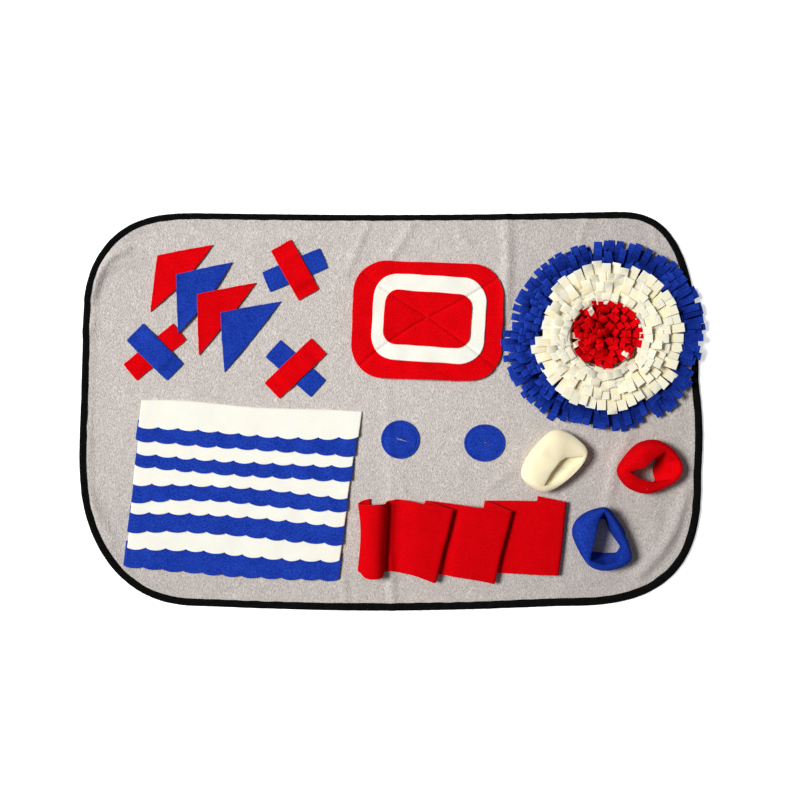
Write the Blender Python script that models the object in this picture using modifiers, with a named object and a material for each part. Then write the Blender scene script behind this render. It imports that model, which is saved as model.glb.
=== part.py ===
# Snuffle mat: a fleece ground bound with folded tape, and on it triangle flaps,
# crossed strips, stacked frames, shingled scallops, slit discs, a pleated strip,
# three cups and a fringed rosette.
# Metres, +Z up. The origin is the middle of the ground's underside, +X the mat's length.

import math
import random
from collections import namedtuple

import bmesh
import bpy
from mathutils import Vector

# Driving sizes
GROUND = 0.0030         # thickness of the ground fleece
FELT = 0.0020           # thickness of the flat pieces and the fringe
STRIP = 0.0025          # thickness of the pleated strip
GAP = 0.0003            # kept between pieces that touch
RIM_GAP = 0.0004        # kept between the folded tape and the cloth inside it
FLOOR = GROUND + GAP    # underside of a piece that lies on the ground

TAPE = 0.0010           # thickness of the binding tape
LIP = 0.0100            # reach of the binding over the cloth
RIM_TURN = 0.0180       # where the ground starts to rise over the lower lip

SLIT = 0.0008           # width of a cut in a disc
CUP_WALL = 0.0055       # doubled fleece of a cup, both layers
BELLY_WALL = 0.0066     # the same where the wall is widest
FOLD = 0.0016           # half the distance between the layers at a fold
FRINGE_WIDTH = 0.0105   # width of one fringe strand

COLOURS = {
    "grey_fleece": "CEC5BE",
    "black_tape": "0D0D0C",
    "red_fleece": "DD030D",
    "cream_fleece": "FCF6E8",
    "blue_fleece": "1B3BA6",
}

# Outline of the mat, counterclockwise from the upper right corner. Each corner is
# a quarter of a superellipse: its two outer edges, its reach each way, its fullness.
Corner = namedtuple("Corner", "edge_x edge_y across up fullness")
CORNERS = (
    Corner(0.4924, 0.3214, 0.134, 0.274, 2.75),
    Corner(-0.4983, 0.3193, 0.185, 0.208, 2.75),
    Corner(-0.5039, -0.3130, 0.197, 0.246, 2.31),
    Corner(0.4964, -0.3130, 0.229, 0.214, 2.85),
)
SIDE_BOWS = (-0.0039, -0.0001, 0.0075, 0.0042)  # top, left, bottom and right, outward
CORNER_STEPS = 13
SIDE_STEPS = 5
RINGS = (TAPE + RIM_GAP, LIP, RIM_TURN, 0.045, 0.075)   # insets of the ground's rings

# Soft swells of the ground near its edge: where, which way, how long, wide and high.
Swell = namedtuple("Swell", "x y turn length width height")
SWELLS = (
    Swell(-0.446, 0.224, 54, 0.050, 0.014, 0.0030),
    Swell(-0.008, 0.296, -43, 0.022, 0.012, 0.0020),
    Swell(0.231, 0.290, -66, 0.026, 0.013, 0.0018),
    Swell(0.452, -0.226, -58, 0.075, 0.013, 0.0030),
    Swell(-0.150, -0.304, 4, 0.060, 0.012, 0.0015),
    Swell(0.489, -0.030, 88, 0.050, 0.010, 0.0015),
)

# Triangle flaps, lowest first: corners, the height of each corner's underside
# above the ground, and how far the loose long edge bows out.
Flap = namedtuple("Flap", "name colour apex right low apex_up right_up low_up bow")
FLAPS = (
    Flap("triangle_flap_1", "red_fleece", (-0.378, 0.251), (-0.288, 0.268),
         (-0.389, 0.160), 0.0003, 0.0008, 0.0008, 0.0060),
    Flap("triangle_flap_2", "blue_fleece", (-0.347, 0.220), (-0.257, 0.240),
         (-0.344, 0.125), 0.0044, 0.0008, 0.0034, 0.0055),
    Flap("triangle_flap_3", "red_fleece", (-0.313, 0.188), (-0.219, 0.207),
         (-0.311, 0.090), 0.0068, 0.0008, 0.0010, 0.0016),
    Flap("triangle_flap_4", "blue_fleece", (-0.276, 0.159), (-0.179, 0.177),
         (-0.270, 0.063), 0.0052, 0.0003, 0.0003, 0.0020),
)
FLAP_SIDE_BOW = 0.0005  # outward bow of the two sewn sides
EDGE_STEPS = 5

# Crossed strips: middle, then length, width and direction of the lower and upper one.
Cross = namedtuple("Cross", "x y low_colour low_size low_turn top_colour top_size top_turn")
CROSSES = (
    Cross(-0.1565, 0.2272, "blue_fleece", (0.098, 0.035), 22.6,
          "red_fleece", (0.092, 0.038), -60.6),
    Cross(-0.1556, 0.0692, "blue_fleece", (0.098, 0.037), -41.5,
          "red_fleece", (0.100, 0.036), 43.7),
    Cross(-0.3815, 0.0956, "red_fleece", (0.101, 0.0345), 39.4,
          "blue_fleece", (0.089, 0.039), -44.8),
)
BRIDGE = 0.0025         # height at which an upper strip crosses, above the lower's underside
BRIDGE_FALL = 0.28      # share of half its length over which it comes down again
END_LIFTS = (0.0003, 0.0004, 0.0005)    # how far loose ends curl up, least first

# Stacked frames, lowest first, sewn together along both diagonals.
Frame = namedtuple("Frame", "name colour x y width height corner turn")
FRAMES = (
    Frame("frame_outer", "red_fleece", 0.0563, 0.1452, 0.2424, 0.1884, 0.0519, -1.8),
    Frame("frame_middle", "cream_fleece", 0.0583, 0.1487, 0.1808, 0.1389, 0.0393, -3.5),
    Frame("frame_inner", "red_fleece", 0.0559, 0.1481, 0.1397, 0.0875, 0.0219, -4.0),
)
FRAME_MIDDLE = (0.0572, 0.1507)    # where the sewn diagonals cross
SEAM_ANGLE = 32                    # degrees from the length to either diagonal
SEAM_TURN = -2.5                   # degrees, of both diagonals together
FRAME_SPOKES = 56
FRAME_PUFF = 0.028                 # rise for each metre out, midway between diagonals

# Scalloped tiers, top one first: how far down the panel's left and right side
# the lower edge lies. Each tier lies on the one below it.
Tier = namedtuple("Tier", "colour left right")
TIERS = (
    Tier("cream_fleece", 0.0430, 0.0426),
    Tier("blue_fleece", 0.0631, 0.0709),
    Tier("cream_fleece", 0.0862, 0.0890),
    Tier("blue_fleece", 0.1053, 0.1120),
    Tier("cream_fleece", 0.1296, 0.1340),
    Tier("blue_fleece", 0.1585, 0.1540),
    Tier("cream_fleece", 0.1761, 0.1792),
    Tier("blue_fleece", 0.2070, 0.2084),
    Tier("cream_fleece", 0.2358, 0.2380),
    Tier("blue_fleece", 0.2673, 0.2710),
)
PANEL_LEFT = (-0.4040, 0.0190)
PANEL_RIGHT = (-0.0500, 0.0000)
PANEL_LEFT_SLANT = -0.105          # sideways for each metre down
PANEL_RIGHT_SLANT = -0.137
TIER_LAP = 0.0100                  # reach of a tier under the one above it
SCALLOPS = 11
SCALLOP_STEPS = 4
SCALLOP_DEPTH = 0.0038
SCALLOP_FULLNESS = 0.8             # under 1 for flat arcs between sharp cusps
TIER_EDGE = 0.0036                 # underside above FLOOR at the lower edge's cusps
TIER_STEP = 0.00240                # the same where the tier below it ends
TIER_LAP_UP = 0.0008               # the same where the tier above it begins
LAST_EDGE = 0.0024                 # the lowest tier's edge, which lies on the ground
LAST_STEP = 0.0017

# Slit discs: middle, width and height, direction of the first of two crossed cuts.
Disc = namedtuple("Disc", "name x y width height cut_turn cut other_cut")
DISCS = (
    Disc("slit_disc_left", 0.0126, -0.0451, 0.062, 0.062, -18, 0.0227, 0.0266),
    Disc("slit_disc_right", 0.1480, -0.0506, 0.066, 0.060, -40, 0.0205, 0.0280),
)

# Pleated strip: its lines from the upper to the lower edge, in order along the cloth.
# A flat line is (upper x, y), (lower x, y) and height of the cloth's middle above
# the ground. A fold line also says which side it points to and whether it goes up.
Line = namedtuple("Line", "upper lower up side climb")
PLEATS = (
    Line((-0.0360, -0.1400), (-0.0340, -0.2520), 0.0022, 0, 0),
    Line((-0.0480, -0.1430), (-0.0480, -0.2540), 0.0024, 0, 0),
    Line((-0.0560, -0.1470), (-0.0565, -0.2560), 0.0066, 0, 0),
    Line((-0.0530, -0.1480), (-0.0520, -0.2610), 0.0115, 0, 0),
    Line((-0.0410, -0.1480), (-0.0390, -0.2655), 0.0147, 0, 0),
    Line((-0.0250, -0.1475), (-0.0250, -0.2665), 0.0142, 0, 0),
    Line((-0.0155, -0.1465), (-0.0165, -0.2635), 0.0098, 0, 0),
    Line((-0.0110, -0.1440), (-0.0120, -0.2580), 0.0040, 0, 0),
    Line((-0.0030, -0.1420), (-0.0060, -0.2570), 0.0016, 0, 0),
    Line((0.0120, -0.1410), (0.0060, -0.2580), 0.0040, 0, 0),
    Line((0.0450, -0.1465), (0.0330, -0.2620), 0.0105, 0, 0),
    Line((0.0800, -0.1525), (0.0540, -0.2690), 0.0148, 0, 0),
    Line((0.0975, -0.1560), (0.0680, -0.2735), 0.0135, 1, -1),
    Line((0.0535, -0.1430), (0.0280, -0.2600), 0.0032, -1, -1),
    Line((0.0850, -0.1465), (0.0600, -0.2600), 0.0016, 0, 0),
    Line((0.1050, -0.1490), (0.0850, -0.2625), 0.0040, 0, 0),
    Line((0.1400, -0.1535), (0.1200, -0.2675), 0.0100, 0, 0),
    Line((0.1720, -0.1560), (0.1470, -0.2720), 0.0143, 0, 0),
    Line((0.1905, -0.1580), (0.1620, -0.2750), 0.0128, 1, -1),
    Line((0.1495, -0.1430), (0.1220, -0.2590), 0.0032, -1, -1),
    Line((0.1830, -0.1430), (0.1580, -0.2585), 0.0016, 0, 0),
    Line((0.2030, -0.1430), (0.1800, -0.2595), 0.0040, 0, 0),
    Line((0.2400, -0.1432), (0.2220, -0.2610), 0.0095, 0, 0),
    Line((0.2640, -0.1438), (0.2500, -0.2625), 0.0112, 0, 0),
    Line((0.2795, -0.1440), (0.2665, -0.2633), 0.0095, 1, -1),
    Line((0.2500, -0.1390), (0.2370, -0.2600), 0.0030, 0, 0),
    Line((0.2330, -0.1355), (0.2190, -0.2575), 0.0018, 0, 0),
)
PLEAT_ROWS = 4

# Cups: middle, then the ellipse where the cup is sewn down (offset, half sizes and
# turn), the mean height of the rim, the extra height and the side of the dome.
# The widest outline and the mouth are (degrees round, x, y) from the middle.
Cup = namedtuple("Cup", "name colour x y foot_x foot_y foot_long foot_short foot_turn "
                        "rim dome dome_turn widest mouth")
CUPS = (
    Cup("cup_cream", "cream_fleece", 0.2597, -0.0800, -0.0110, 0.0090, 0.0400, 0.0255, 48,
        0.034, 0.007, 140,
        ((12, 0.0546, 0.0115), (45, 0.0360, 0.0380), (84, 0.0060, 0.0510),
         (115, -0.0180, 0.0380), (172, -0.0470, 0.0000), (212, -0.0500, -0.0290),
         (255, -0.0140, -0.0500), (318, 0.0280, -0.0250)),
        ((12, 0.0490, 0.0085), (75, 0.0200, 0.0090), (110, 0.0105, 0.0000),
         (190, -0.0060, -0.0230), (240, -0.0140, -0.0380), (272, 0.0040, -0.0345),
         (325, 0.0280, -0.0145))),
    Cup("cup_red", "red_fleece", 0.4144, -0.0888, -0.0130, 0.0010, 0.0310, 0.0320, 0,
        0.035, 0.006, 130,
        ((2, 0.0530, 0.0010), (34, 0.0390, 0.0260), (75, 0.0120, 0.0430),
         (118, -0.0200, 0.0375), (168, -0.0470, 0.0090), (192, -0.0530, -0.0110),
         (225, -0.0360, -0.0340), (262, -0.0050, -0.0440), (305, 0.0240, -0.0345),
         (335, 0.0470, -0.0190)),
        ((10, 0.0440, 0.0095), (50, 0.0242, 0.0221), (100, 0.0074, 0.0116),
         (150, -0.0095, -0.0021), (190, -0.0316, -0.0074), (233, -0.0179, -0.0200),
         (285, 0.0116, -0.0265), (323, 0.0347, -0.0225), (350, 0.0455, -0.0070))),
    Cup("cup_blue", "blue_fleece", 0.3366, -0.2056, -0.0035, 0.0050, 0.0360, 0.0340, 0,
        0.036, 0.006, 165,
        ((15, 0.0365, 0.0105), (50, 0.0260, 0.0310), (82, 0.0075, 0.0510),
         (120, -0.0240, 0.0440), (148, -0.0430, 0.0280), (172, -0.0470, 0.0060),
         (215, -0.0320, -0.0270), (250, -0.0150, -0.0460), (282, 0.0120, -0.0510),
         (318, 0.0400, -0.0410), (332, 0.0490, -0.0260)),
        ((30, 0.0230, 0.0155), (80, 0.0053, 0.0432), (105, -0.0032, 0.0316),
         (150, -0.0116, 0.0063), (200, -0.0168, -0.0210), (240, -0.0160, -0.0341),
         (282, 0.0074, -0.0400), (312, 0.0263, -0.0337), (345, 0.0345, -0.0120))),
)
CUP_SIDES = 24
BELLY_UP = 0.0130       # height of the widest outline on the dome's side
BELLY_RISE = 0.0090     # how much higher it is on the side where the wall leans out

# Rosette: backings, then rows of fringe with their lean above the horizontal.
Backing = namedtuple("Backing", "name colour inner outer rows")
Row = namedtuple("Row", "radius count lean length")
ROSETTE_MIDDLE = (0.341, 0.122)
ROSETTE_STRETCH = (1.035, 0.965)
ROSETTE = (
    Backing("rosette_blue", "blue_fleece", 0.0945, 0.1265, (
        Row(0.1200, 46, 17, 0.038), Row(0.1100, 36, 24, 0.037),
        Row(0.1000, 26, 31, 0.035))),
    Backing("rosette_cream", "cream_fleece", 0.0500, 0.0942, (
        Row(0.0890, 30, 38, 0.035), Row(0.0780, 25, 45, 0.034),
        Row(0.0670, 20, 52, 0.033), Row(0.0560, 14, 59, 0.032))),
    Backing("rosette_red", "red_fleece", 0.0, 0.0497, (
        Row(0.0430, 14, 65, 0.030), Row(0.0310, 11, 71, 0.030),
        Row(0.0190, 8, 78, 0.029), Row(0.0070, 3, 84, 0.028))),
)
BACKING_SIDES = 48
DROOP = 7               # degrees that a strand bends down at its tip, and up at its root


def clear_scene():
    for obj in list(bpy.data.objects):
        bpy.data.objects.remove(obj, do_unlink=True)


def new_collection(name):
    collection = bpy.data.collections.new(name)
    bpy.context.scene.collection.children.link(collection)
    return collection


def linear(hex_colour):
    channels = []
    for start in (0, 2, 4):
        value = int(hex_colour[start:start + 2], 16) / 255
        channels.append(value / 12.92 if value <= 0.04045 else ((value + 0.055) / 1.055) ** 2.4)
    return (*channels, 1.0)


def material(name):
    made = bpy.data.materials.get(name)
    if made:
        return made
    made = bpy.data.materials.new(name)
    made.use_nodes = True
    shader = made.node_tree.nodes["Principled BSDF"]
    shader.inputs["Base Color"].default_value = linear(COLOURS[name])
    shader.inputs["Roughness"].default_value = 0.95
    shader.inputs["Metallic"].default_value = 0.0
    return made


def add_piece(name, mesh, colour):
    piece = bpy.data.objects.new(name, mesh)
    bpy.data.collections["snuffle_mat"].objects.link(piece)
    mesh.materials.append(material(colour))
    return piece


def mesh_from(name, build):
    work = bmesh.new()
    build(work)
    mesh = bpy.data.meshes.new(name)
    work.to_mesh(mesh)
    work.free()
    return mesh


def thicken(piece, thickness, offset=1.0):
    solidify = piece.modifiers.new("cloth thickness", "SOLIDIFY")
    solidify.thickness = thickness
    solidify.offset = offset
    solidify.use_even_offset = True


def flat_sheet(name, polygons, colour, thickness=FELT):
    """A sheet from polygons of its underside, each counterclockwise from above."""
    def build(work):
        for polygon in polygons:
            work.faces.new([work.verts.new(point) for point in polygon])
        bmesh.ops.remove_doubles(work, verts=work.verts, dist=0.00001)
    piece = add_piece(name, mesh_from(name, build), colour)
    thicken(piece, thickness)
    return piece


def loft(name, rings, colour, closed_rows=False):
    """Quads between rings of as many points each; closed_rows joins the last to the first."""
    def build(work):
        rows = [[work.verts.new(point) for point in ring] for ring in rings]
        if closed_rows:
            rows.append(rows[0])
        for row, after in zip(rows, rows[1:]):
            for index in range(len(row)):
                ahead = (index + 1) % len(row)
                work.faces.new((row[index], row[ahead], after[ahead], after[index]))
        bmesh.ops.recalc_face_normals(work, faces=work.faces)
    return add_piece(name, mesh_from(name, build), colour)


def outline():
    points = []
    corners = [corner_arc(corner) for corner in CORNERS]
    for arc, after, bow in zip(corners, corners[1:] + corners[:1], SIDE_BOWS):
        points.extend(arc)
        start = arc[-1]
        side = after[0] - start
        outward = Vector((side.y, -side.x)).normalized()
        for step in range(1, SIDE_STEPS):
            share = step / SIDE_STEPS
            points.append(start + side * share + outward * bow * math.sin(math.pi * share))
    return points


def corner_arc(corner):
    right = math.copysign(1, corner.edge_x)
    upper = math.copysign(1, corner.edge_y)
    power = 2 / corner.fullness
    arc = []
    for step in range(CORNER_STEPS + 1):
        turn = math.pi / 2 * step / CORNER_STEPS
        across = 1 - abs(math.cos(turn)) ** power
        up = 1 - abs(math.sin(turn)) ** power
        arc.append(Vector((corner.edge_x - right * corner.across * across,
                           corner.edge_y - upper * corner.up * up)))
    return arc if right * upper > 0 else arc[::-1]


def inset(points, distance):
    moved = []
    for index, point in enumerate(points):
        before = (point - points[index - 1]).normalized()
        after = (points[(index + 1) % len(points)] - point).normalized()
        along = (before + after).normalized()
        inward = Vector((-along.y, along.x))
        moved.append(point + inward * distance / along.dot(after))
    return moved


def swell_at(point):
    total = 0.0
    for swell in SWELLS:
        turn = math.radians(swell.turn)
        away = point - Vector((swell.x, swell.y))
        along = away.x * math.cos(turn) + away.y * math.sin(turn)
        across = away.y * math.cos(turn) - away.x * math.sin(turn)
        reach = (along / swell.length) ** 2 + (across / swell.width) ** 2
        total += swell.height * math.exp(-reach)
    return total if total > 0.0002 else 0.0


def rim_heights(edge):
    """The lift of the bound edge, the same for the tape and the cloth inside it."""
    return [swell_at(point) for point in inset(edge, LIP)]


def build_ground(edge):
    lifts = rim_heights(edge)
    rings = []
    for distance in RINGS:
        ring = []
        for point, lift in zip(inset(edge, distance), lifts):
            height = swell_at(point)
            if distance <= LIP:
                height = lift + TAPE + RIM_GAP
            ring.append((point.x, point.y, 0.0 if distance == RINGS[-1] else height))
        rings.append(ring)
    quads = []
    for outer, inner in zip(rings, rings[1:]):
        for index in range(len(outer)):
            ahead = (index + 1) % len(outer)
            quads.append((outer[index], outer[ahead], inner[ahead], inner[index]))
    quads.append(rings[-1])
    return flat_sheet("ground", quads, "grey_fleece", GROUND)


def build_binding(edge):
    top = 2 * TAPE + 2 * RIM_GAP + GROUND
    section = (
        (LIP, 0.0), (TAPE, 0.0), (0.0, TAPE), (0.0, top - TAPE), (TAPE, top), (LIP, top),
        (LIP, top - TAPE), (TAPE, top - TAPE), (TAPE, TAPE), (LIP, TAPE),
    )
    lifts = rim_heights(edge)
    rings = []
    for distance, height in section:
        ring = inset(edge, distance)
        rings.append([(point.x, point.y, height + lift) for point, lift in zip(ring, lifts)])
    return loft("edge_binding", rings, "black_tape", closed_rows=True)


def bowed_edge(start, end, bow):
    """Points from start towards end, the end left out, bowed to the right of the way."""
    side = Vector(end) - Vector(start)
    rightward = Vector((side.y, -side.x, 0)).normalized()
    points = []
    for step in range(EDGE_STEPS):
        share = step / EDGE_STEPS
        points.append(Vector(start) + side * share + rightward * bow * math.sin(math.pi * share))
    return points


def build_flap(flap):
    apex = (*flap.apex, GROUND + flap.apex_up)
    right = (*flap.right, GROUND + flap.right_up)
    low = (*flap.low, GROUND + flap.low_up)
    edge = bowed_edge(apex, low, FLAP_SIDE_BOW)
    edge += bowed_edge(low, right, flap.bow)
    edge += bowed_edge(right, apex, FLAP_SIDE_BOW)
    return flat_sheet(flap.name, [edge], flap.colour)


def build_strip(name, middle, size, turn, colour, profile):
    """A straight strip; profile gives (share of half its length, underside) stations."""
    along = Vector((math.cos(turn), math.sin(turn), 0))
    across = Vector((-along.y, along.x, 0)) * size[1] / 2
    rows = []
    for share, height in profile:
        point = Vector((*middle, height)) + along * size[0] / 2 * share
        rows.append((point - across, point + across))
    quads = [(a[0], b[0], b[1], a[1]) for a, b in zip(rows, rows[1:])]
    return flat_sheet(name, quads, colour)


def build_cross(number, cross):
    middle = (cross.x, cross.y)
    low_turn = math.radians(cross.low_turn)
    low, middling, high = (FLOOR + lift for lift in END_LIFTS)
    flat = ((-1, middling), (-0.7, FLOOR), (0.7, FLOOR), (1, low))
    build_strip(f"cross_{number}_lower", middle, cross.low_size, low_turn,
                cross.low_colour, flat)
    reach = (cross.low_size[1] / 2 + 0.005) / (cross.top_size[0] / 2)
    fall = reach + BRIDGE_FALL
    top = FLOOR + BRIDGE
    bridge = ((-1, high), (-fall, low), (-reach, top), (0, top), (reach, top), (fall, low),
              (1, high))
    build_strip(f"cross_{number}_upper", middle, cross.top_size,
                math.radians(cross.top_turn), cross.top_colour, bridge)


def outside_frame(point, frame):
    """Signed distance from a point to the frame's rounded edge, negative inside."""
    away_x = abs(point.x) - frame.width / 2 + frame.corner
    away_y = abs(point.y) - frame.height / 2 + frame.corner
    corner = math.hypot(max(away_x, 0), max(away_y, 0))
    return corner + min(max(away_x, away_y), 0) - frame.corner


def frame_reach(frame, turn):
    """How far the frame reaches from the crossing of the diagonals, one way."""
    shift = Vector(FRAME_MIDDLE) - Vector((frame.x, frame.y))
    way = Vector((math.cos(turn), math.sin(turn)))
    near = 0.0
    far = frame.width
    for _ in range(40):
        half = (near + far) / 2
        if outside_frame(shift + way * half, frame) < 0:
            near = half
        else:
            far = half
    return near


def frame_puff(turn):
    """Rise for each metre out: none on the sewn diagonals, most midway between them."""
    diagonal = math.radians(SEAM_ANGLE)
    folded = abs(math.remainder(turn, math.pi))
    if folded < diagonal:
        share = folded / diagonal
    else:
        share = (math.pi / 2 - folded) / (math.pi / 2 - diagonal)
    return FRAME_PUFF * math.cos(math.pi / 2 * share) ** 2


def build_frame(level, frame):
    lowest = FLOOR + level * (FELT + GAP)
    tilt = math.radians(SEAM_TURN)
    middle = (*FRAME_MIDDLE, lowest)
    edge = []
    for spoke in range(FRAME_SPOKES):
        turn = 2 * math.pi * spoke / FRAME_SPOKES
        reach = frame_reach(frame, turn + tilt - math.radians(frame.turn))
        edge.append((FRAME_MIDDLE[0] + reach * math.cos(turn + tilt),
                     FRAME_MIDDLE[1] + reach * math.sin(turn + tilt),
                     lowest + reach * frame_puff(turn)))
    fan = [(middle, point, after) for point, after in zip(edge, edge[1:] + edge[:1])]
    return flat_sheet(frame.name, fan, frame.colour)


def panel_side(left, drop):
    """A point on the panel's left or right side, this far down it."""
    if left:
        return Vector((PANEL_LEFT[0] + PANEL_LEFT_SLANT * drop, PANEL_LEFT[1] - drop))
    return Vector((PANEL_RIGHT[0] + PANEL_RIGHT_SLANT * drop, PANEL_RIGHT[1] - drop))


def build_tier(number, tier, above):
    last = number == len(TIERS)
    edge_up = LAST_EDGE if last else TIER_EDGE
    step_up = LAST_STEP if last else TIER_STEP
    slope = (edge_up - step_up) / TIER_LAP

    def line(left_drop, right_drop, up):
        left = panel_side(True, left_drop)
        right = panel_side(False, right_drop)
        return (*left, FLOOR + up), (*right, FLOOR + up)

    left, right = (Vector(end) for end in line(tier.left, tier.right, edge_up))
    scallops = []
    for step in range(SCALLOPS * SCALLOP_STEPS + 1):
        along = step / (SCALLOPS * SCALLOP_STEPS)
        phase = step % SCALLOP_STEPS / SCALLOP_STEPS
        depth = SCALLOP_DEPTH * math.sin(math.pi * phase) ** SCALLOP_FULLNESS
        scallops.append(left.lerp(right, along) + Vector((0, -depth, depth * slope)))
    lines = [line(tier.left - TIER_LAP, tier.right - TIER_LAP, step_up)]
    if above:
        lines.append(line(above.left, above.right, TIER_LAP_UP))
        lines.append(line(above.left - TIER_LAP, above.right - TIER_LAP, 0.0))
    else:
        lines.append(line(0.0, 0.0, 0.0))
    polygons = [scallops + [lines[0][1], lines[0][0]]]
    for low, high in zip(lines, lines[1:]):
        polygons.append((low[0], low[1], high[1], high[0]))
    return flat_sheet(f"scallop_tier_{number:02d}", polygons, tier.colour)


def build_disc(disc):
    bpy.ops.mesh.primitive_cylinder_add(vertices=40, radius=0.5, depth=FELT)
    piece = bpy.context.object
    piece.name = disc.name
    piece.location = (disc.x, disc.y, FLOOR + FELT / 2)
    piece.scale = (disc.width, disc.height, 1)
    move_to(piece, "snuffle_mat")
    piece.data.materials.append(material("blue_fleece"))
    bpy.ops.object.transform_apply(location=False, rotation=False, scale=True)
    cuts = ((disc.cut, disc.cut_turn), (disc.other_cut, disc.cut_turn + 90))
    for number, (length, turn) in enumerate(cuts, start=1):
        bpy.ops.mesh.primitive_cube_add(size=1, location=piece.location)
        cutter = bpy.context.object
        cutter.name = f"{disc.name}_cut_{number}"
        cutter.scale = (length, SLIT, 3 * FELT)
        cutter.rotation_euler.z = math.radians(turn)
        as_cutter(cutter)
        cut = piece.modifiers.new(cutter.name, "BOOLEAN")
        cut.operation = "DIFFERENCE"
        cut.solver = "EXACT"
        cut.object = cutter
    return piece


def move_to(obj, collection_name):
    for collection in list(obj.users_collection):
        collection.objects.unlink(obj)
    bpy.data.collections[collection_name].objects.link(obj)


def as_cutter(obj):
    move_to(obj, "cutters")
    obj.hide_render = True
    obj.display_type = "WIRE"


def pleat_lines():
    """The strip's lines in order, with each fold opened into three close lines."""
    lines = []
    for line in PLEATS:
        upper = Vector((*line.upper, GROUND + line.up))
        lower = Vector((*line.lower, GROUND + line.up))
        if line.side == 0:
            lines.append((upper, lower))
            continue
        back = Vector((-line.side * FOLD, 0, 0))
        rise = Vector((0, 0, line.climb * FOLD))
        lines.append((upper + back - rise, lower + back - rise))
        lines.append((upper, lower))
        lines.append((upper + back + rise, lower + back + rise))
    return lines


def build_pleats():
    def build(work):
        rows = []
        for upper, lower in pleat_lines():
            row = [upper.lerp(lower, step / PLEAT_ROWS) for step in range(PLEAT_ROWS + 1)]
            rows.append([work.verts.new(point) for point in row])
        for row, after in zip(rows, rows[1:]):
            for step in range(PLEAT_ROWS):
                work.faces.new((row[step], row[step + 1], after[step + 1], after[step]))
    piece = add_piece("pleated_strip", mesh_from("pleated_strip", build), "red_fleece")
    thicken(piece, STRIP, offset=0.0)
    return piece


def outline_point(spots, turn, smooth):
    """A point of a closed outline of (degrees, x, y) spots, this far round it."""
    degrees = math.degrees(turn) % 360
    if degrees < spots[0][0]:
        degrees += 360
    count = len(spots)
    index = max(place for place in range(count) if spots[place][0] <= degrees)
    before, here, ahead, beyond = (Vector(spots[(index + step) % count][1:])
                                   for step in (-1, 0, 1, 2))
    next_degrees = spots[index + 1][0] if index + 1 < count else spots[0][0] + 360
    share = (degrees - spots[index][0]) / (next_degrees - spots[index][0])
    if not smooth:
        return here.lerp(ahead, share)
    return here + 0.5 * share * (
        ahead - before + share * (
            2 * before - 5 * here + 4 * ahead - beyond + share * (
                3 * (here - ahead) + beyond - before)))


def foot_point(cup, turn, inward):
    """A point of the ellipse where a cup is sewn down, moved inward."""
    tilt = math.radians(cup.foot_turn)
    along = (cup.foot_long - inward) * math.cos(turn - tilt)
    across = (cup.foot_short - inward) * math.sin(turn - tilt)
    return Vector((cup.foot_x + along * math.cos(tilt) - across * math.sin(tilt),
                   cup.foot_y + along * math.sin(tilt) + across * math.cos(tilt)))


def cup_section(cup, turn):
    """One upright slice of the cup's wall, up the outside and down the inside."""
    away = math.cos(turn - math.radians(cup.dome_turn))
    rim = cup.rim + cup.dome * away
    belly_up = BELLY_UP + BELLY_RISE * (1 - away) / 2
    widest = outline_point(cup.widest, turn, smooth=True)
    mouth = outline_point(cup.mouth, turn, smooth=False)
    foot = foot_point(cup, turn, 0.0)
    inner_foot = foot_point(cup, turn, CUP_WALL)
    inner = widest - widest.normalized() * BELLY_WALL
    slice_points = (
        (foot, 0.0),
        (foot.lerp(widest, 0.60), belly_up * 0.45),
        (widest, belly_up),
        (widest.lerp(mouth, 0.28), belly_up + (rim - belly_up) * 0.68),
        (widest.lerp(mouth, 0.66), rim),
        (mouth, rim - 0.0030),
        (mouth.lerp(inner, 0.25), rim - 0.0100),
        (inner, belly_up),
        (inner_foot.lerp(inner, 0.58), belly_up * 0.42),
        (inner_foot, 0.0),
    )
    return [(cup.x + point.x, cup.y + point.y, FLOOR + up) for point, up in slice_points]


def build_cup(cup):
    slices = [cup_section(cup, 2 * math.pi * side / CUP_SIDES) for side in range(CUP_SIDES)]
    rings = [list(ring) for ring in zip(*slices)]
    piece = loft(cup.name, rings, cup.colour, closed_rows=True)
    piece.data.shade_smooth()
    piece.data.set_sharp_from_angle(angle=math.radians(50))
    return piece


def strand(work, root, heading, lean, length, width):
    """A flat strand from its root, its tip bent down a little. Lean is above the ground."""
    across = Vector((-math.sin(heading), math.cos(heading), 0)) * width / 2
    point = Vector(root)
    rows = []
    angles = (lean + math.radians(DROOP), lean, lean - math.radians(DROOP))
    for station, angle in enumerate(angles):
        way = Vector((math.cos(heading) * math.cos(angle), math.sin(heading) * math.cos(angle),
                      math.sin(angle)))
        normal = across.normalized().cross(way) * FELT / 2
        if station:
            point = point + way * length / (len(angles) - 1)
        corners = (point - across - normal, point + across - normal,
                   point + across + normal, point - across + normal)
        rows.append([work.verts.new(corner) for corner in corners])
    for row, after in zip(rows, rows[1:]):
        for side in range(4):
            ahead = (side + 1) % 4
            work.faces.new((row[side], row[ahead], after[ahead], after[side]))
    work.faces.new(rows[0])
    work.faces.new(rows[-1])


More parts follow.
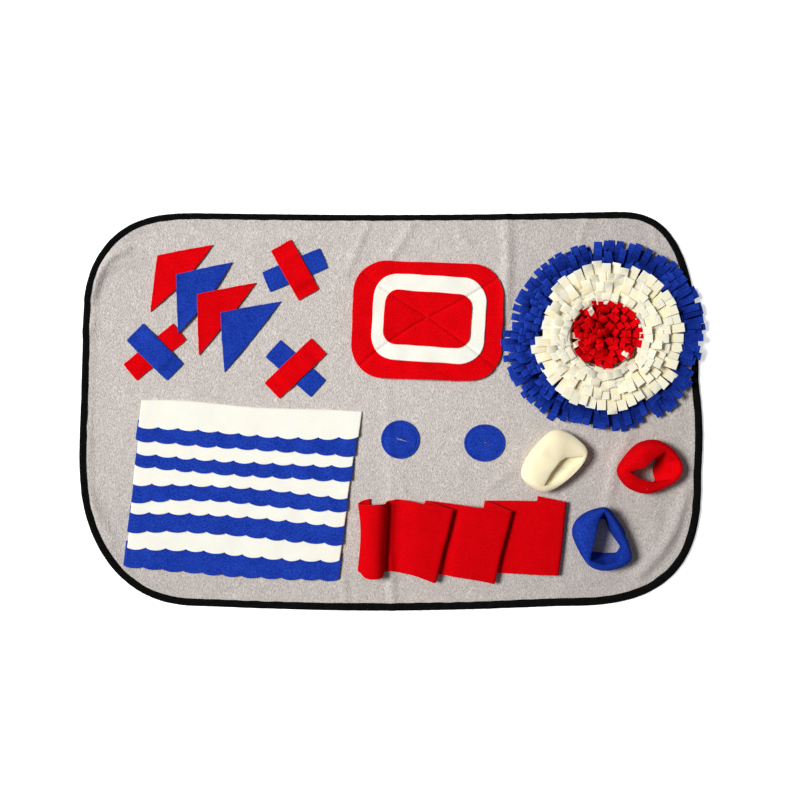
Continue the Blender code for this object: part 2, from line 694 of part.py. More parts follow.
def build_fringe(backing, dice):
    """All of a backing's strands, with the root of each inside the backing."""
    def build(work):
        for row in backing.rows:
            start = dice.uniform(0, 2 * math.pi)
            for number in range(row.count):
                turn = start + 2 * math.pi * number / row.count
                radius = row.radius + dice.uniform(-0.0008, 0.0008)
                root = (ROSETTE_MIDDLE[0] + ROSETTE_STRETCH[0] * radius * math.cos(turn),
                        ROSETTE_MIDDLE[1] + ROSETTE_STRETCH[1] * radius * math.sin(turn),
                        FLOOR + FELT * 0.55)
                heading = turn + math.radians(dice.uniform(-4, 4))
                lean = math.radians(row.lean + dice.uniform(-1.5, 1.5))
                length = row.length * dice.uniform(0.93, 1.05)
                strand(work, root, heading, lean, length, FRINGE_WIDTH)
        bmesh.ops.recalc_face_normals(work, faces=work.faces)
    name = f"{backing.name}_strands"
    fringe = bpy.data.objects.new(name, mesh_from(name, build))
    bpy.data.collections["cutters"].objects.link(fringe)
    as_cutter(fringe)
    return fringe


def backing_ring(radius, height):
    points = []
    for side in range(BACKING_SIDES):
        turn = 2 * math.pi * side / BACKING_SIDES
        points.append((ROSETTE_MIDDLE[0] + ROSETTE_STRETCH[0] * radius * math.cos(turn),
                       ROSETTE_MIDDLE[1] + ROSETTE_STRETCH[1] * radius * math.sin(turn), height))
    return points


def build_backing(backing, dice):
    outer = backing_ring(backing.outer, FLOOR)
    if backing.inner:
        inner = backing_ring(backing.inner, FLOOR)
        polygons = []
        for side in range(BACKING_SIDES):
            ahead = (side + 1) % BACKING_SIDES
            polygons.append((outer[side], outer[ahead], inner[ahead], inner[side]))
    else:
        polygons = [outer]
    piece = flat_sheet(backing.name, polygons, backing.colour)
    union = piece.modifiers.new("fringe", "BOOLEAN")
    union.operation = "UNION"
    union.solver = "EXACT"
    union.object = build_fringe(backing, dice)
    return piece


def main():
    clear_scene()
    new_collection("snuffle_mat")
    new_collection("cutters")
    edge = outline()
    build_ground(edge)
    build_binding(edge)
    for flap in FLAPS:
        build_flap(flap)
    for number, cross in enumerate(CROSSES, start=1):
        build_cross(number, cross)
    for level, frame in enumerate(FRAMES):
        build_frame(level, frame)
    for number, tier in enumerate(TIERS, start=1):
        above = TIERS[number - 2] if number > 1 else None
        build_tier(number, tier, above)
    for disc in DISCS:
        build_disc(disc)
    build_pleats()
    for cup in CUPS:
        build_cup(cup)
    dice = random.Random(7)
    for backing in ROSETTE:
        build_backing(backing, dice)


main()
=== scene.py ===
import math
import random

import bpy
import numpy as np
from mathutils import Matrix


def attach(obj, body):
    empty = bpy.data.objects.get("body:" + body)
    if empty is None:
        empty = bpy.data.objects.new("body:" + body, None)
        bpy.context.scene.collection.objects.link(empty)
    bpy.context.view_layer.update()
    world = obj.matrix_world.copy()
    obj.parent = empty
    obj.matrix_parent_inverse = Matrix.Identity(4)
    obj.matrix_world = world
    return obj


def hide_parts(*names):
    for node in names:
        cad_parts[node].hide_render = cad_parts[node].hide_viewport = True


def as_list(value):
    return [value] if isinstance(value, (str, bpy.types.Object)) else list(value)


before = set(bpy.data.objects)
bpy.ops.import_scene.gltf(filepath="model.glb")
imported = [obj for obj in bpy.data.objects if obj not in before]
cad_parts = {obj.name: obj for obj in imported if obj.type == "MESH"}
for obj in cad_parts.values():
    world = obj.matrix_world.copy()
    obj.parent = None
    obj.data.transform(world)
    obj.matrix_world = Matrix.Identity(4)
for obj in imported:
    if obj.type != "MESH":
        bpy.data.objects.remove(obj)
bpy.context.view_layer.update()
bpy.ops.object.select_all(action="DESELECT")

mm = 0.001
groundTop = 3.0 * mm       # top of the ground fleece where the mat lies flat
pieceFloor = 3.3 * mm      # underside of a piece that lies on the ground
sheetThick = 2.0 * mm      # every fleece piece but the ground and the pleated strip
leastArea = 0.301          # of a sheet's flat rectangle, for triangles and thin rings


# Camera straight above, and soft light from the left
studio = {
    "cameraSpot": (0.012, 0.0185, 1.79),
    "lens": 50,
    "keySpot": (-4.3, 0.9, 5.0),
    "keyTarget": (-0.10, 0.12, 0.0),
    "keySize": 2.9,
    "keyWatts": 33.5,
    "keySpread": 30,        # degrees; the light falls off towards both ends of the mat
    "skyColour": "F4F7FF",
    "skyStrength": 0.13,
    "floorColour": "FFFFFF",
    "floorGlow": 0.5,       # keeps the backdrop white where the light falls off
}


def linearColour(hexCode):
    channels = (int(hexCode[start:start + 2], 16) / 255 for start in (0, 2, 4))
    return (*(value / 12.92 if value <= 0.04045 else ((value + 0.055) / 1.055) ** 2.4
              for value in channels), 1.0)


def setInputs(node, inputs):
    # Sets each input to a value, or links it to a socket
    for name, value in inputs.items():
        if isinstance(value, bpy.types.NodeSocket):
            node.id_data.links.new(value, node.inputs[name])
        else:
            node.inputs[name].default_value = value


def addNode(tree, kind, inputs=None, **settings):
    node = tree.nodes.new("ShaderNode" + kind)
    for name, value in settings.items():
        setattr(node, name, value)
    setInputs(node, inputs or {})
    return node


def newMaterial(name, roughness, specular, sheen=0.0, sheenTint="FFFFFF"):
    made = bpy.data.materials.new(name)
    made.use_nodes = True
    shader = made.node_tree.nodes["Principled BSDF"]
    setInputs(shader, {"Roughness": roughness, "Specular IOR Level": specular,
                       "Sheen Weight": sheen, "Sheen Roughness": 0.6,
                       "Sheen Tint": linearColour(sheenTint)})
    return made, made.node_tree, shader


def pointAt(spot, target):
    back = np.array(spot) - np.array(target)
    flat = math.hypot(back[0], back[1])
    return (math.atan2(flat, back[2]), 0.0, math.atan2(back[1], back[0]) + math.pi / 2)


def setUpStudio():
    scene = bpy.context.scene
    bpy.ops.object.camera_add(location=studio["cameraSpot"], rotation=(0, 0, 0))
    scene.camera = bpy.context.object
    scene.camera.data.lens = studio["lens"]
    spot = studio["keySpot"]
    bpy.ops.object.light_add(type="AREA", location=spot,
                             rotation=pointAt(spot, studio["keyTarget"]))
    lamp = bpy.context.object
    lamp.name = "keyLight"
    lamp.data.size = studio["keySize"]
    lamp.data.energy = studio["keyWatts"]
    lamp.data.spread = math.radians(studio["keySpread"])
    scene.world = bpy.data.worlds.new("studioSky")
    scene.world.use_nodes = True
    setInputs(scene.world.node_tree.nodes["Background"],
              {"Color": linearColour(studio["skyColour"]), "Strength": studio["skyStrength"]})
    scene.view_settings.view_transform = "Standard"
    bpy.ops.mesh.primitive_plane_add(size=12, location=(0, 0, -0.3 * mm))
    floor = bpy.context.object
    floor.name = "studioFloor"
    paper, _, shader = newMaterial("paintedBoard", 0.9, 0.1)
    setInputs(shader, {"Base Color": linearColour(studio["floorColour"]),
                       "Emission Color": (1, 1, 1, 1), "Emission Strength": studio["floorGlow"]})
    floor.data.materials.append(paper)
    print("studio ready")
    return floor


studioFloor = setUpStudio()


# Materials. Every pattern is sized from the real pile, fibre or thread.
def shadeBetween(tree, pattern, low, high, deep, light):
    # Spreads this range of a pattern over two colours
    shade = addNode(tree, "MapRange", {"Value": pattern, "From Min": low, "From Max": high})
    colour = addNode(tree, "ValToRGB", {"Fac": shade.outputs[0]})
    for stop, wanted in zip(colour.color_ramp.elements, (deep, light)):
        stop.color = wanted
    return colour.outputs["Color"]


def finishCloth(tree, shader, colour, *reliefs):
    # Reliefs are a pattern, its strength and its depth in mm, the finest first
    below = {}
    for pattern, strength, depth in reliefs:
        bump = addNode(tree, "Bump", {"Height": pattern.outputs["Fac"], "Strength": strength,
                                      "Distance": depth * mm, **below})
        below = {"Normal": bump.outputs[0]}
    setInputs(shader, {"Base Color": colour, **below})


def makeNappedFleece():
    # Brushed and tumbled polyester fleece: its pile lies in short curls, 1.9 by 3 mm
    made, tree, shader = newMaterial("nappedFleece", 1.0, 0.04, 0.10)
    place = addNode(tree, "TexCoord").outputs["Object"]
    drift = addNode(tree, "TexNoise", {"Vector": place, "Scale": 1 / (24 * mm), "Detail": 1.0})
    bend = addNode(tree, "VectorMath", {0: drift.outputs["Color"], "Scale": 14 * mm},
                   operation="SCALE")
    swirl = addNode(tree, "VectorMath", {0: place, 1: bend.outputs[0]}, operation="ADD")
    lay = addNode(tree, "Mapping", {"Vector": swirl.outputs[0], "Rotation": (0, 0, 0.3),
                                    "Scale": (1 / (1.9 * mm), 1 / (3.0 * mm), 1 / (3.0 * mm))})
    curls = addNode(tree, "TexNoise", {"Vector": lay.outputs[0], "Scale": 1.0, "Detail": 2.0,
                                       "Roughness": 0.5, "Distortion": 0.6})
    fibres = addNode(tree, "TexNoise", {"Vector": place, "Scale": 1 / (1.1 * mm), "Detail": 1.0})
    colour = shadeBetween(tree, curls.outputs["Fac"], 0.25, 0.75,
                          linearColour("B0A69E"), linearColour("EDE5DF"))
    # Painted shade: the ground is darker towards the right and the lower edge, where the light
    # falls off; the broad drift adds a faint random mottle
    spot = addNode(tree, "SeparateXYZ", {"Vector": place})
    for value, low, high, start, end in ((spot.outputs["X"], 0.05, 0.48, 1.0, 0.85),
                                         (spot.outputs["Y"], -0.30, 0.0, 0.92, 1.0),
                                         (drift.outputs["Fac"], 0.3, 0.7, 0.985, 1.015)):
        paintedFalloffAndMottle = addNode(tree, "MapRange", {"Value": value, "From Min": low, "From Max": high,
                                             "To Min": start, "To Max": end})
        colour = addNode(tree, "VectorMath", {0: colour, "Scale": paintedFalloffAndMottle.outputs[0]},
                         operation="SCALE").outputs[0]
    finishCloth(tree, shader, colour, (fibres, 0.35, 0.35), (curls, 1.0, 1.7))
    return made


def makeSmoothFleece(name, deep, light, rimColour, paintedShadeColour, through=0.0):
    # Sheared fleece: a short matted face, paler fibre ends where it was cut
    made, tree, shader = newMaterial(name, 1.0, 0.03, 0.06, light)
    place = addNode(tree, "UVMap", uv_map="cloth").outputs["UV"]
    grain = addNode(tree, "TexNoise", {"Vector": place, "Scale": 1 / (2.6 * mm), "Detail": 3.0,
                                       "Roughness": 0.65, "Distortion": 0.6})
    cloud = addNode(tree, "TexNoise", {"Vector": place, "Scale": 1 / (22 * mm), "Detail": 1.5})
    fibres = addNode(tree, "TexNoise", {"Vector": place, "Scale": 1 / (0.7 * mm), "Detail": 1.0})
    mixed = addNode(tree, "Math", {0: cloud.outputs["Fac"], 1: 0.25, 2: grain.outputs["Fac"]},
                    operation="MULTIPLY_ADD")
    colour = shadeBetween(tree, mixed.outputs[0], 0.48, 0.77,
                          linearColour(deep), linearColour(light))
    # rim pales the cut fibre ends; root lays painted shade where shade falls: deep in the fringe,
    # over the cups and over the pleated strip
    for marks, hexCode in (("rim", rimColour), ("root", paintedShadeColour)):
        share = addNode(tree, "Attribute", attribute_name=marks).outputs["Fac"]
        colour = addNode(tree, "Mix", {"Factor": share, "A": colour, "B": linearColour(hexCode)},
                         data_type="RGBA").outputs["Result"]
    setInputs(shader, {"Subsurface Weight": through, "Subsurface Scale": 3.0 * mm,
                       "Subsurface Radius": (1.0, 0.78, 0.45)})
    finishCloth(tree, shader, colour, (fibres, 0.3, 0.25), (grain, 0.4, 0.5))
    return made


def makeBindingTape():
    # Black polyester binding, woven with ribs across it; a slight gloss on the ribs
    made, tree, shader = newMaterial("wovenBinding", 0.85, 0.03)
    place = addNode(tree, "UVMap", uv_map="cloth").outputs["UV"]
    ribs = addNode(tree, "TexWave", {"Vector": place, "Scale": math.tau / 20 / (1.2 * mm),
                                     "Distortion": 0.6, "Detail": 1.0}, bands_direction="X")
    lint = addNode(tree, "TexNoise", {"Vector": place, "Scale": 1 / (9 * mm), "Detail": 4.0})
    colour = shadeBetween(tree, lint.outputs["Fac"], 0.35, 0.75,
                          linearColour("090909"), linearColour("121211"))
    finishCloth(tree, shader, colour, (ribs, 0.5, 0.25))
    return made


def makeThread(name, hexCode):
    # Spun polyester sewing thread, two plies twisted every 0.8 mm, with painted shade between
    # them
    made, tree, shader = newMaterial(name, 0.55, 0.3, 0.1)
    place = addNode(tree, "TexCoord").outputs["Object"]
    twist = addNode(tree, "TexNoise", {"Vector": place, "Scale": 1 / (0.8 * mm)})
    base = linearColour(hexCode)
    colour = shadeBetween(tree, twist.outputs["Fac"], 0.0, 1.0,
                          (*(0.7 * channel for channel in base[:3]), 1), base)
    finishCloth(tree, shader, colour, (twist, 0.4, 0.2))
    return made


materials = {
    "grey": makeNappedFleece(),
    # The last colour of each fleece is painted shade, laid on through the root attribute; the
    # cream's is a warm painted shade
    "red": makeSmoothFleece("redFleece", "CC0108", "EC040E", "E32A30", "A80008"),
    "blue": makeSmoothFleece("blueFleece", "122C8E", "2648B8", "3351B0", "0B1B60"),
    "cream": makeSmoothFleece("creamFleece", "FFF7E4", "FFFDF0", "FFFEF6", "F8E4AE", 0.35),
    "tape": makeBindingTape(),
    **{name: makeThread(name, hexCode) for name, hexCode in (
        ("redThread", "B8040B"), ("blueThread", "142C86"), ("creamThread", "E9E0CB"),
        ("blackThread", "101010"), ("whiteThread", "F4F4F4"))},
}
print("materials ready:", len(materials))


# The mat's waves, shared by every piece that lies on it
waves = {
    "creases": (    # points along the crest, spread, height, all in mm
        (((-486, -130), (-479, -152), (-467, -180), (-452, -206)), 9, 3.4),
        (((-484, 180), (-471, 219), (-452, 246), (-428, 260)), 7.5, 7.4),
        (((-456, 226), (-438, 238), (-414, 234)), 6.5, 3.2),
        (((-40, 303), (-56, 263), (-75, 220)), 6, 2.4),
        (((31, 300), (12, 268), (-6, 245)), 6, 2.8),
        (((102, 300), (118, 271), (138, 250)), 5, 2),
        (((183, 308), (185, 244), (180, 150)), 8, 4.5),
        (((312, 308), (299, 268)), 5, 1.8),
        (((418, 294), (428, 264)), 5, 1.8),
        (((-11, 43), (-6, -30), (-2, -94), (-1, -250)), 7, 1.5),
        (((-2, -235), (-1, -312)), 6, 3.4),
        (((9, -81), (20, -142)), 5, 1.7),
        (((-80, -255), (-75, -312)), 5, 1.8),
        (((379, -40), (357, -91), (345, -155)), 8, 3.4),
        (((472, -128), (457, -175), (434, -220), (396, -263)), 9, 6.4),
        (((415, -139), (423, -191), (406, -239)), 15, 2.2),
        (((-490, -22), (-486, -60)), 5, 1.7),
        (((210, -81), (181, -101), (158, -122)), 6.5, 2.2),
        (((-225, 276), (-149, 283), (-66, 276)), 12, 3.4),
        (((-245, 250), (-210, 241)), 6, 1.7),
        (((-490, 120), (-478, 150)), 5, 2),
        (((270, -280), (330, -268)), 12, 2.2),
    ),
    "ripple": 0.35 * mm,
    "rippleSize": 42 * mm,
}


def softNoise(x, y, size, seed):
    # A smooth pattern from -1 to 1 whose bumps are about this size
    dice = random.Random(seed)
    total = np.zeros_like(np.asarray(x, float))
    for _ in range(9):
        turn = dice.uniform(0, 2 * math.pi)
        reach = 2 * math.pi / (size * dice.uniform(1.3, 2.8))
        phase = dice.uniform(0, 2 * math.pi)
        total = total + np.sin((x * math.cos(turn) + y * math.sin(turn)) * reach + phase)
    return total / 5.0


def mound(away, spread):
    # 1 in the middle, falling softly to 0
    return np.exp(-(away / spread) ** 2)


def awayFromPath(x, y, path):
    # Distance from each place to a path of points, and which share of the path is nearest
    best, share = np.full(np.shape(x), 1e9), np.zeros(np.shape(x))
    for number, ((ax, ay), (bx, by)) in enumerate(zip(path, path[1:])):
        dx, dy = bx - ax, by - ay
        along = np.clip(((x - ax) * dx + (y - ay) * dy) / (dx ** 2 + dy ** 2), 0, 1)
        away = np.hypot(x - ax - along * dx, y - ay - along * dy)
        share = np.where(away < best, (number + along) / (len(path) - 1), share)
        best = np.minimum(away, best)
    return best, share


def roundedStep(before, here, ahead, beyond, t):
    # A spot between here and ahead on a rounded path through all four
    return here + 0.5 * t * (ahead - before + t * (
        2 * before - 5 * here + 4 * ahead - beyond + t * (3 * (here - ahead) + beyond - before)))


def smoothPath(points, count):
    # A rounded path through the points, with this many steps from each to the next
    points = [np.array(point, float) for point in points]
    padded = [2 * points[0] - points[1], *points, 2 * points[-1] - points[-2]]
    path = [roundedStep(*four, step / count)
            for four in zip(padded, padded[1:], padded[2:], padded[3:]) for step in range(count)]
    return [*path, points[-1]]


def wavesAt(x, y):
    lift = waves["ripple"] * (1 + softNoise(x, y, waves["rippleSize"], 11))
    for points, spread, height in waves["creases"]:
        path = [point * mm for point in smoothPath(points, 4)]
        away, share = awayFromPath(x, y, path)
        swell = 0.55 + 0.45 * np.sin(np.pi * np.clip(share, 0.06, 0.94))
        lift = lift + height * mm * swell * mound(away, spread * mm)
    return np.maximum(lift, 0.0)


# The waves are worked out once on a grid, because thousands of strands ask for them
liftGrid = {"cell": 2.5 * mm, "halfWidth": 0.56, "halfHeight": 0.38}
liftX = np.arange(-liftGrid["halfWidth"], liftGrid["halfWidth"], liftGrid["cell"])
liftY = np.arange(-liftGrid["halfHeight"], liftGrid["halfHeight"], liftGrid["cell"])
liftTable = wavesAt(*np.meshgrid(liftX, liftY))
print("waves laid out:", liftTable.shape)


def groundLift(x, y):
    # How far the mat's waves lift it off the floor here
    column = (np.asarray(x, float) - liftX[0]) / liftGrid["cell"]
    row = (np.asarray(y, float) - liftY[0]) / liftGrid["cell"]
    left = np.clip(np.floor(column).astype(int), 0, len(liftX) - 2)
    low = np.clip(np.floor(row).astype(int), 0, len(liftY) - 2)
    across, up = np.clip(column - left, 0, 1), np.clip(row - low, 0, 1)
    lower, upper = ((1 - across) * liftTable[line, left] + across * liftTable[line, left + 1]
                    for line in (low, low + 1))
    return (1 - up) * lower + up * upper


def asSeen(points):
    # Spots marked from straight above lie nearer the middle, the higher they are
    eye = np.array(studio["cameraSpot"])
    flat = eye[:2] + (points[:, :2] - eye[:2]) * (1 - points[:, 2:] / eye[2])
    return np.column_stack([flat, points[:, 2]])


def lengths(path):
    # How far along the path each of its points lies
    return np.concatenate([[0], np.cumsum(np.linalg.norm(np.diff(path, axis=0), axis=1))])


def resting(x, y):
    # The middle surface of a sheet that lies on the ground here
    return pieceFloor + groundLift(x, y) + sheetThick / 2


def asPoints(*axes):
    return np.stack(axes, axis=-1).reshape(-1, len(axes))


def gridPlaces(first, second):
    # Each value of the first with each of the second, which changes faster
    return asPoints(*np.meshgrid(first, second, indexing="ij"))


def circle(turns):
    return np.stack([np.cos(turns), np.sin(turns)], axis=-1)


def turned(places, angle):
    ahead = np.array((math.cos(angle), math.sin(angle)))
    return places @ np.array((ahead, (-ahead[1], ahead[0])))


def makeMesh(name, points, faces, uv=None, rim=None, root=None):
    mesh = bpy.data.meshes.new(name)
    mesh.from_pydata(np.asarray(points).tolist(), [], faces)
    if uv is not None:
        layer = mesh.uv_layers.new(name="cloth")
        corners = np.empty(len(mesh.loops), np.int32)
        mesh.loops.foreach_get("vertex_index", corners)
        layer.data.foreach_set("uv", np.asarray(uv, np.float32)[corners].ravel())
    for marks, values in (("rim", rim), ("root", root)):
        if values is not None:
            layer = mesh.attributes.new(marks, "FLOAT", "POINT")
            layer.data.foreach_set("value", np.asarray(values, np.float32))
    mesh.shade_smooth()
    return mesh


def addPiece(name, mesh, finish, node=None):
    piece = bpy.data.objects.new(name, mesh)
    bpy.context.scene.collection.objects.link(piece)
    mesh.materials.append(materials[finish])
    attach(piece, "root")
    if node:
        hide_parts(node)
    return piece


def vertexNormals(points, faces):
    normals = np.zeros_like(points)
    for size in (3, 4):
        some = np.array([face for face in faces if len(face) == size])
        if len(some):
            normal = np.cross(points[some[:, 2]] - points[some[:, 0]],
                              points[some[:, -1]] - points[some[:, 1]])
            for corner in range(size):
                np.add.at(normals, some[:, corner], normal)
    return normals / np.maximum(np.linalg.norm(normals, axis=1, keepdims=True), 1e-12)


nearRim = np.array([0.0, 0.25, 0.7, 1.5]) * mm      # insets of the first points from a cut edge
cutEdge = {"roundness": 0.9 * mm, "thinnest": 0.22, "paleWidth": 1.2 * mm, "pale": 0.7}


def makeSheet(name, points, faces, uv, fromRim, finish, node, thickness=sheetThick):
    # A closed sheet round a middle surface, thinner and rounded towards its cut edge
    # Faces are counterclockwise from the face side; fromRim is each point's way to the edge
    normals = vertexNormals(points, faces)
    outward = 1 - np.clip(fromRim / cutEdge["roundness"], 0, 1)
    half = thickness / 2 * np.clip(np.sqrt(1 - outward ** 2), cutEdge["thinnest"], 1)[:, None]
    count = len(points)
    shell = [*faces, *(tuple(count + corner for corner in reversed(face)) for face in faces)]
    border = {}
    for face in faces:
        for start, end in zip(face, (*face[1:], face[0])):
            if not border.pop((end, start), False):
                border[(start, end)] = True
    shell += [(end, start, count + start, count + end) for start, end in border]
    pale = np.clip(1 - fromRim / cutEdge["paleWidth"], 0, 1) * cutEdge["pale"]
    mesh = makeMesh(name, np.concatenate([points + normals * half, points - normals * half]),
                    shell, np.concatenate([uv, uv]), np.concatenate([pale, pale]))
    return addPiece(name, mesh, finish, node)


def steps(length, size):
    # Stations from 0 to length, close together near both ends
    inner = np.linspace(nearRim[-1], length - nearRim[-1], max(2, round(length / size)))
    return np.array([*nearRim[:-1], *inner, *(length - nearRim[-2::-1])])


def gridFaces(rows, columns, around=False, over=False, flip=False, start=0):
    # Faces of a grid of points, whose columns can close around it and whose rows over it
    faces = []
    for row in range(rows if over else rows - 1):
        for column in range(columns if around else columns - 1):
            ahead, after = (row + 1) % rows, (column + 1) % columns
            face = ((row, column), (row, after), (ahead, after), (ahead, column))
            face = (face[0], *face[:0:-1]) if flip else face
            faces.append(tuple(start + line * columns + place for line, place in face))
    return faces


# One stitch, modelled once and laid along every seam
stitchShape = {"length": 3.0 * mm, "width": 0.75 * mm, "height": 0.6 * mm, "pitch": 3.6 * mm}


def modelStitch():
    bpy.ops.mesh.primitive_cylinder_add(vertices=6, radius=0.5, depth=1, end_fill_type="TRIFAN",
                                        rotation=(0, math.pi / 2, 0))
    stitch = bpy.context.object
    bpy.ops.object.mode_set(mode="EDIT")
    bpy.ops.mesh.select_all(action="SELECT")
    bpy.ops.mesh.bevel(offset=0.22, segments=1, affect="EDGES")
    bpy.ops.object.mode_set(mode="OBJECT")
    stitch.scale = (stitchShape["length"], stitchShape["width"], stitchShape["height"])
    bpy.ops.object.transform_apply(location=False, rotation=True, scale=True)
    points = np.array([vertex.co for vertex in stitch.data.vertices])
    faces = [tuple(face.vertices) for face in stitch.data.polygons]
    bpy.data.objects.remove(stitch)
    return points, faces


stitchPoints, stitchFaces = modelStitch()


def sewSeam(name, paths, finish):
    # Stitches along paths of points; each stitch lies along its path
    pitch = stitchShape["pitch"]
    points, faces = [], []
    for path in paths:
        reach = lengths(path)
        count = max(1, int(reach[-1] / pitch))
        for number in range(count):
            middle = (number + 0.5) * reach[-1] / count
            start, end = (np.array([np.interp(middle + way * pitch * 0.35, reach, values)
                                    for values in np.transpose(path)]) for way in (-1, 1))
            along = (end - start) / np.linalg.norm(end - start)
            across = np.cross((0, 0, 1), along)
            across = across / max(np.linalg.norm(across), 1e-9)
            turn = np.array([along, across, np.cross(along, across)])
            base = len(points) * len(stitchPoints)
            points.append(stitchPoints @ turn + (start + end) / 2)
            faces += [tuple(base + corner for corner in face) for face in stitchFaces]
    return addPiece(name, makeMesh(name, np.concatenate(points), faces), finish)


# Ground and binding
mat = {
    "corners": (    # outer edges x and y, reach across and up, fullness; upper right first
        (0.4924, 0.3214, 0.134, 0.274, 2.75),
        (-0.4983, 0.3193, 0.185, 0.208, 2.75),
        (-0.5039, -0.3130, 0.197, 0.246, 2.31),
        (0.4964, -0.3130, 0.229, 0.214, 2.85),
    ),
    "sideBows": (-0.0039, -0.0001, 0.0075, 0.0042),
    "columns": 208,
    "rows": 134,
    "thickness": 3.0 * mm,
    "foldedIn": 1.4 * mm,   # how far inside the tape's edge the cloth ends
    "rimRise": 1.3 * mm,
    "rimTurn": 20 * mm,     # from here to the edge the cloth rises over the lower tape
    "puff": 0.8 * mm,       # the cloth swells beside the binding, unevenly
    "puffInset": 16 * mm,
    "puffWide": 5 * mm,
    "puffSize": 14 * mm,
    "edgeStations": 700,
    "tape": 1.0 * mm,
    "lipWander": 0.5 * mm,
    "plump": 0.3 * mm,
    "lips": ((-180, 11.4), (-150, 11.8), (-100, 12.4), (-60, 12.7), (-33, 13.6), (-15, 12.6),
             (20, 12.0), (60, 9.8), (90, 9.4), (140, 10.2), (180, 11.4)),   # degrees, mm
    "tapeStations": 900,
    "seamFromLip": 2.2 * mm,
}


def cornerArc(number, count):
    edgeX, edgeY, across, up, fullness = mat["corners"][number]
    right, upper = math.copysign(1, edgeX), math.copysign(1, edgeY)
    turn = np.linspace(0, math.pi / 2, count + 1)
    left, down = (1 - np.abs(way) ** (2 / fullness) for way in (np.cos(turn), np.sin(turn)))
    arc = np.column_stack([edgeX - right * across * left, edgeY - upper * up * down])
    return arc if right * upper > 0 else arc[::-1]


def quarterOutlines():
    # The outline in four runs, each from the middle of one corner to the next
    half = 60
    arcs = [cornerArc(number, 2 * half) for number in range(4)]
    shares = np.linspace(0, 1, 80)[1:-1, None]
    runs = []
    for before, after, bow in zip(arcs, (*arcs[1:], arcs[0]), mat["sideBows"]):
        start, side = before[-1], after[0] - before[-1]
        outward = np.array((side[1], -side[0])) / np.linalg.norm(side)
        middle = start + side * shares + outward * bow * np.sin(np.pi * shares)
        runs.append(np.concatenate([before[half:], middle, after[:half + 1]]))
    return runs


def evenly(path, count):
    reach = lengths(path)
    wanted = np.linspace(0, reach[-1], count)
    return np.column_stack([np.interp(wanted, reach, values) for values in path.T])


def closedOutline(count):
    path = np.concatenate([run[:-1] for run in quarterOutlines()])
    return evenly(np.concatenate([path, path[:1]]), count + 1)[:-1]


def lipAt(x, y):
    turns, widths = zip(*mat["lips"])
    return np.interp(np.degrees(np.arctan2(y, x)), turns, widths) * mm


def outwardOf(path):
    # Outwards from each point of a counterclockwise outline
    way = np.roll(path, -1, axis=0) - np.roll(path, 1, axis=0)
    way = way / np.linalg.norm(way, axis=1, keepdims=True)
    return np.column_stack([way[:, 1], -way[:, 0]])


def easeIn(share):
    return share ** 2 * (3 - 2 * share)


def buildGround():
    top, left, bottom, right = quarterOutlines()
    columns, rows = mat["columns"], mat["rows"]
    top, bottom = evenly(top, columns)[::-1], evenly(bottom, columns)       # left to right
    left, right = evenly(left, rows)[::-1, None], evenly(right, rows)[:, None]    # bottom to top
    u = np.linspace(0, 1, columns)[None, :, None]
    v = np.linspace(0, 1, rows)[:, None, None]
    place = ((1 - v) * bottom + v * top + (1 - u) * left + u * right
             - (1 - u) * ((1 - v) * bottom[0] + v * top[0])
             - u * ((1 - v) * bottom[-1] + v * top[-1])).reshape(-1, 2)
    edge = closedOutline(mat["edgeStations"])
    away, _ = awayFromPath(*place.T, [*edge, edge[0]])
    place = place * (1 - mat["foldedIn"] / np.maximum(np.hypot(*place.T), 0.1))[:, None]
    x, y = place.T
    lip = lipAt(x, y)
    rise = mat["rimRise"] * easeIn(np.clip(1 - (away - lip) / (mat["rimTurn"] - lip), 0, 1))
    puff = mat["puff"] * mound(away - mat["puffInset"], mat["puffWide"])
    height = groundLift(x, y) + rise + puff * (1 + softNoise(x, y, mat["puffSize"], 5)) / 2
    ground = makeSheet("groundFleece", asPoints(x, y, height + mat["thickness"] / 2),
                       gridFaces(rows, columns), place, np.maximum(away, 2 * mm), "grey",
                       "ground", mat["thickness"])
    print("ground fleece:", len(ground.data.polygons), "faces")
    return ground


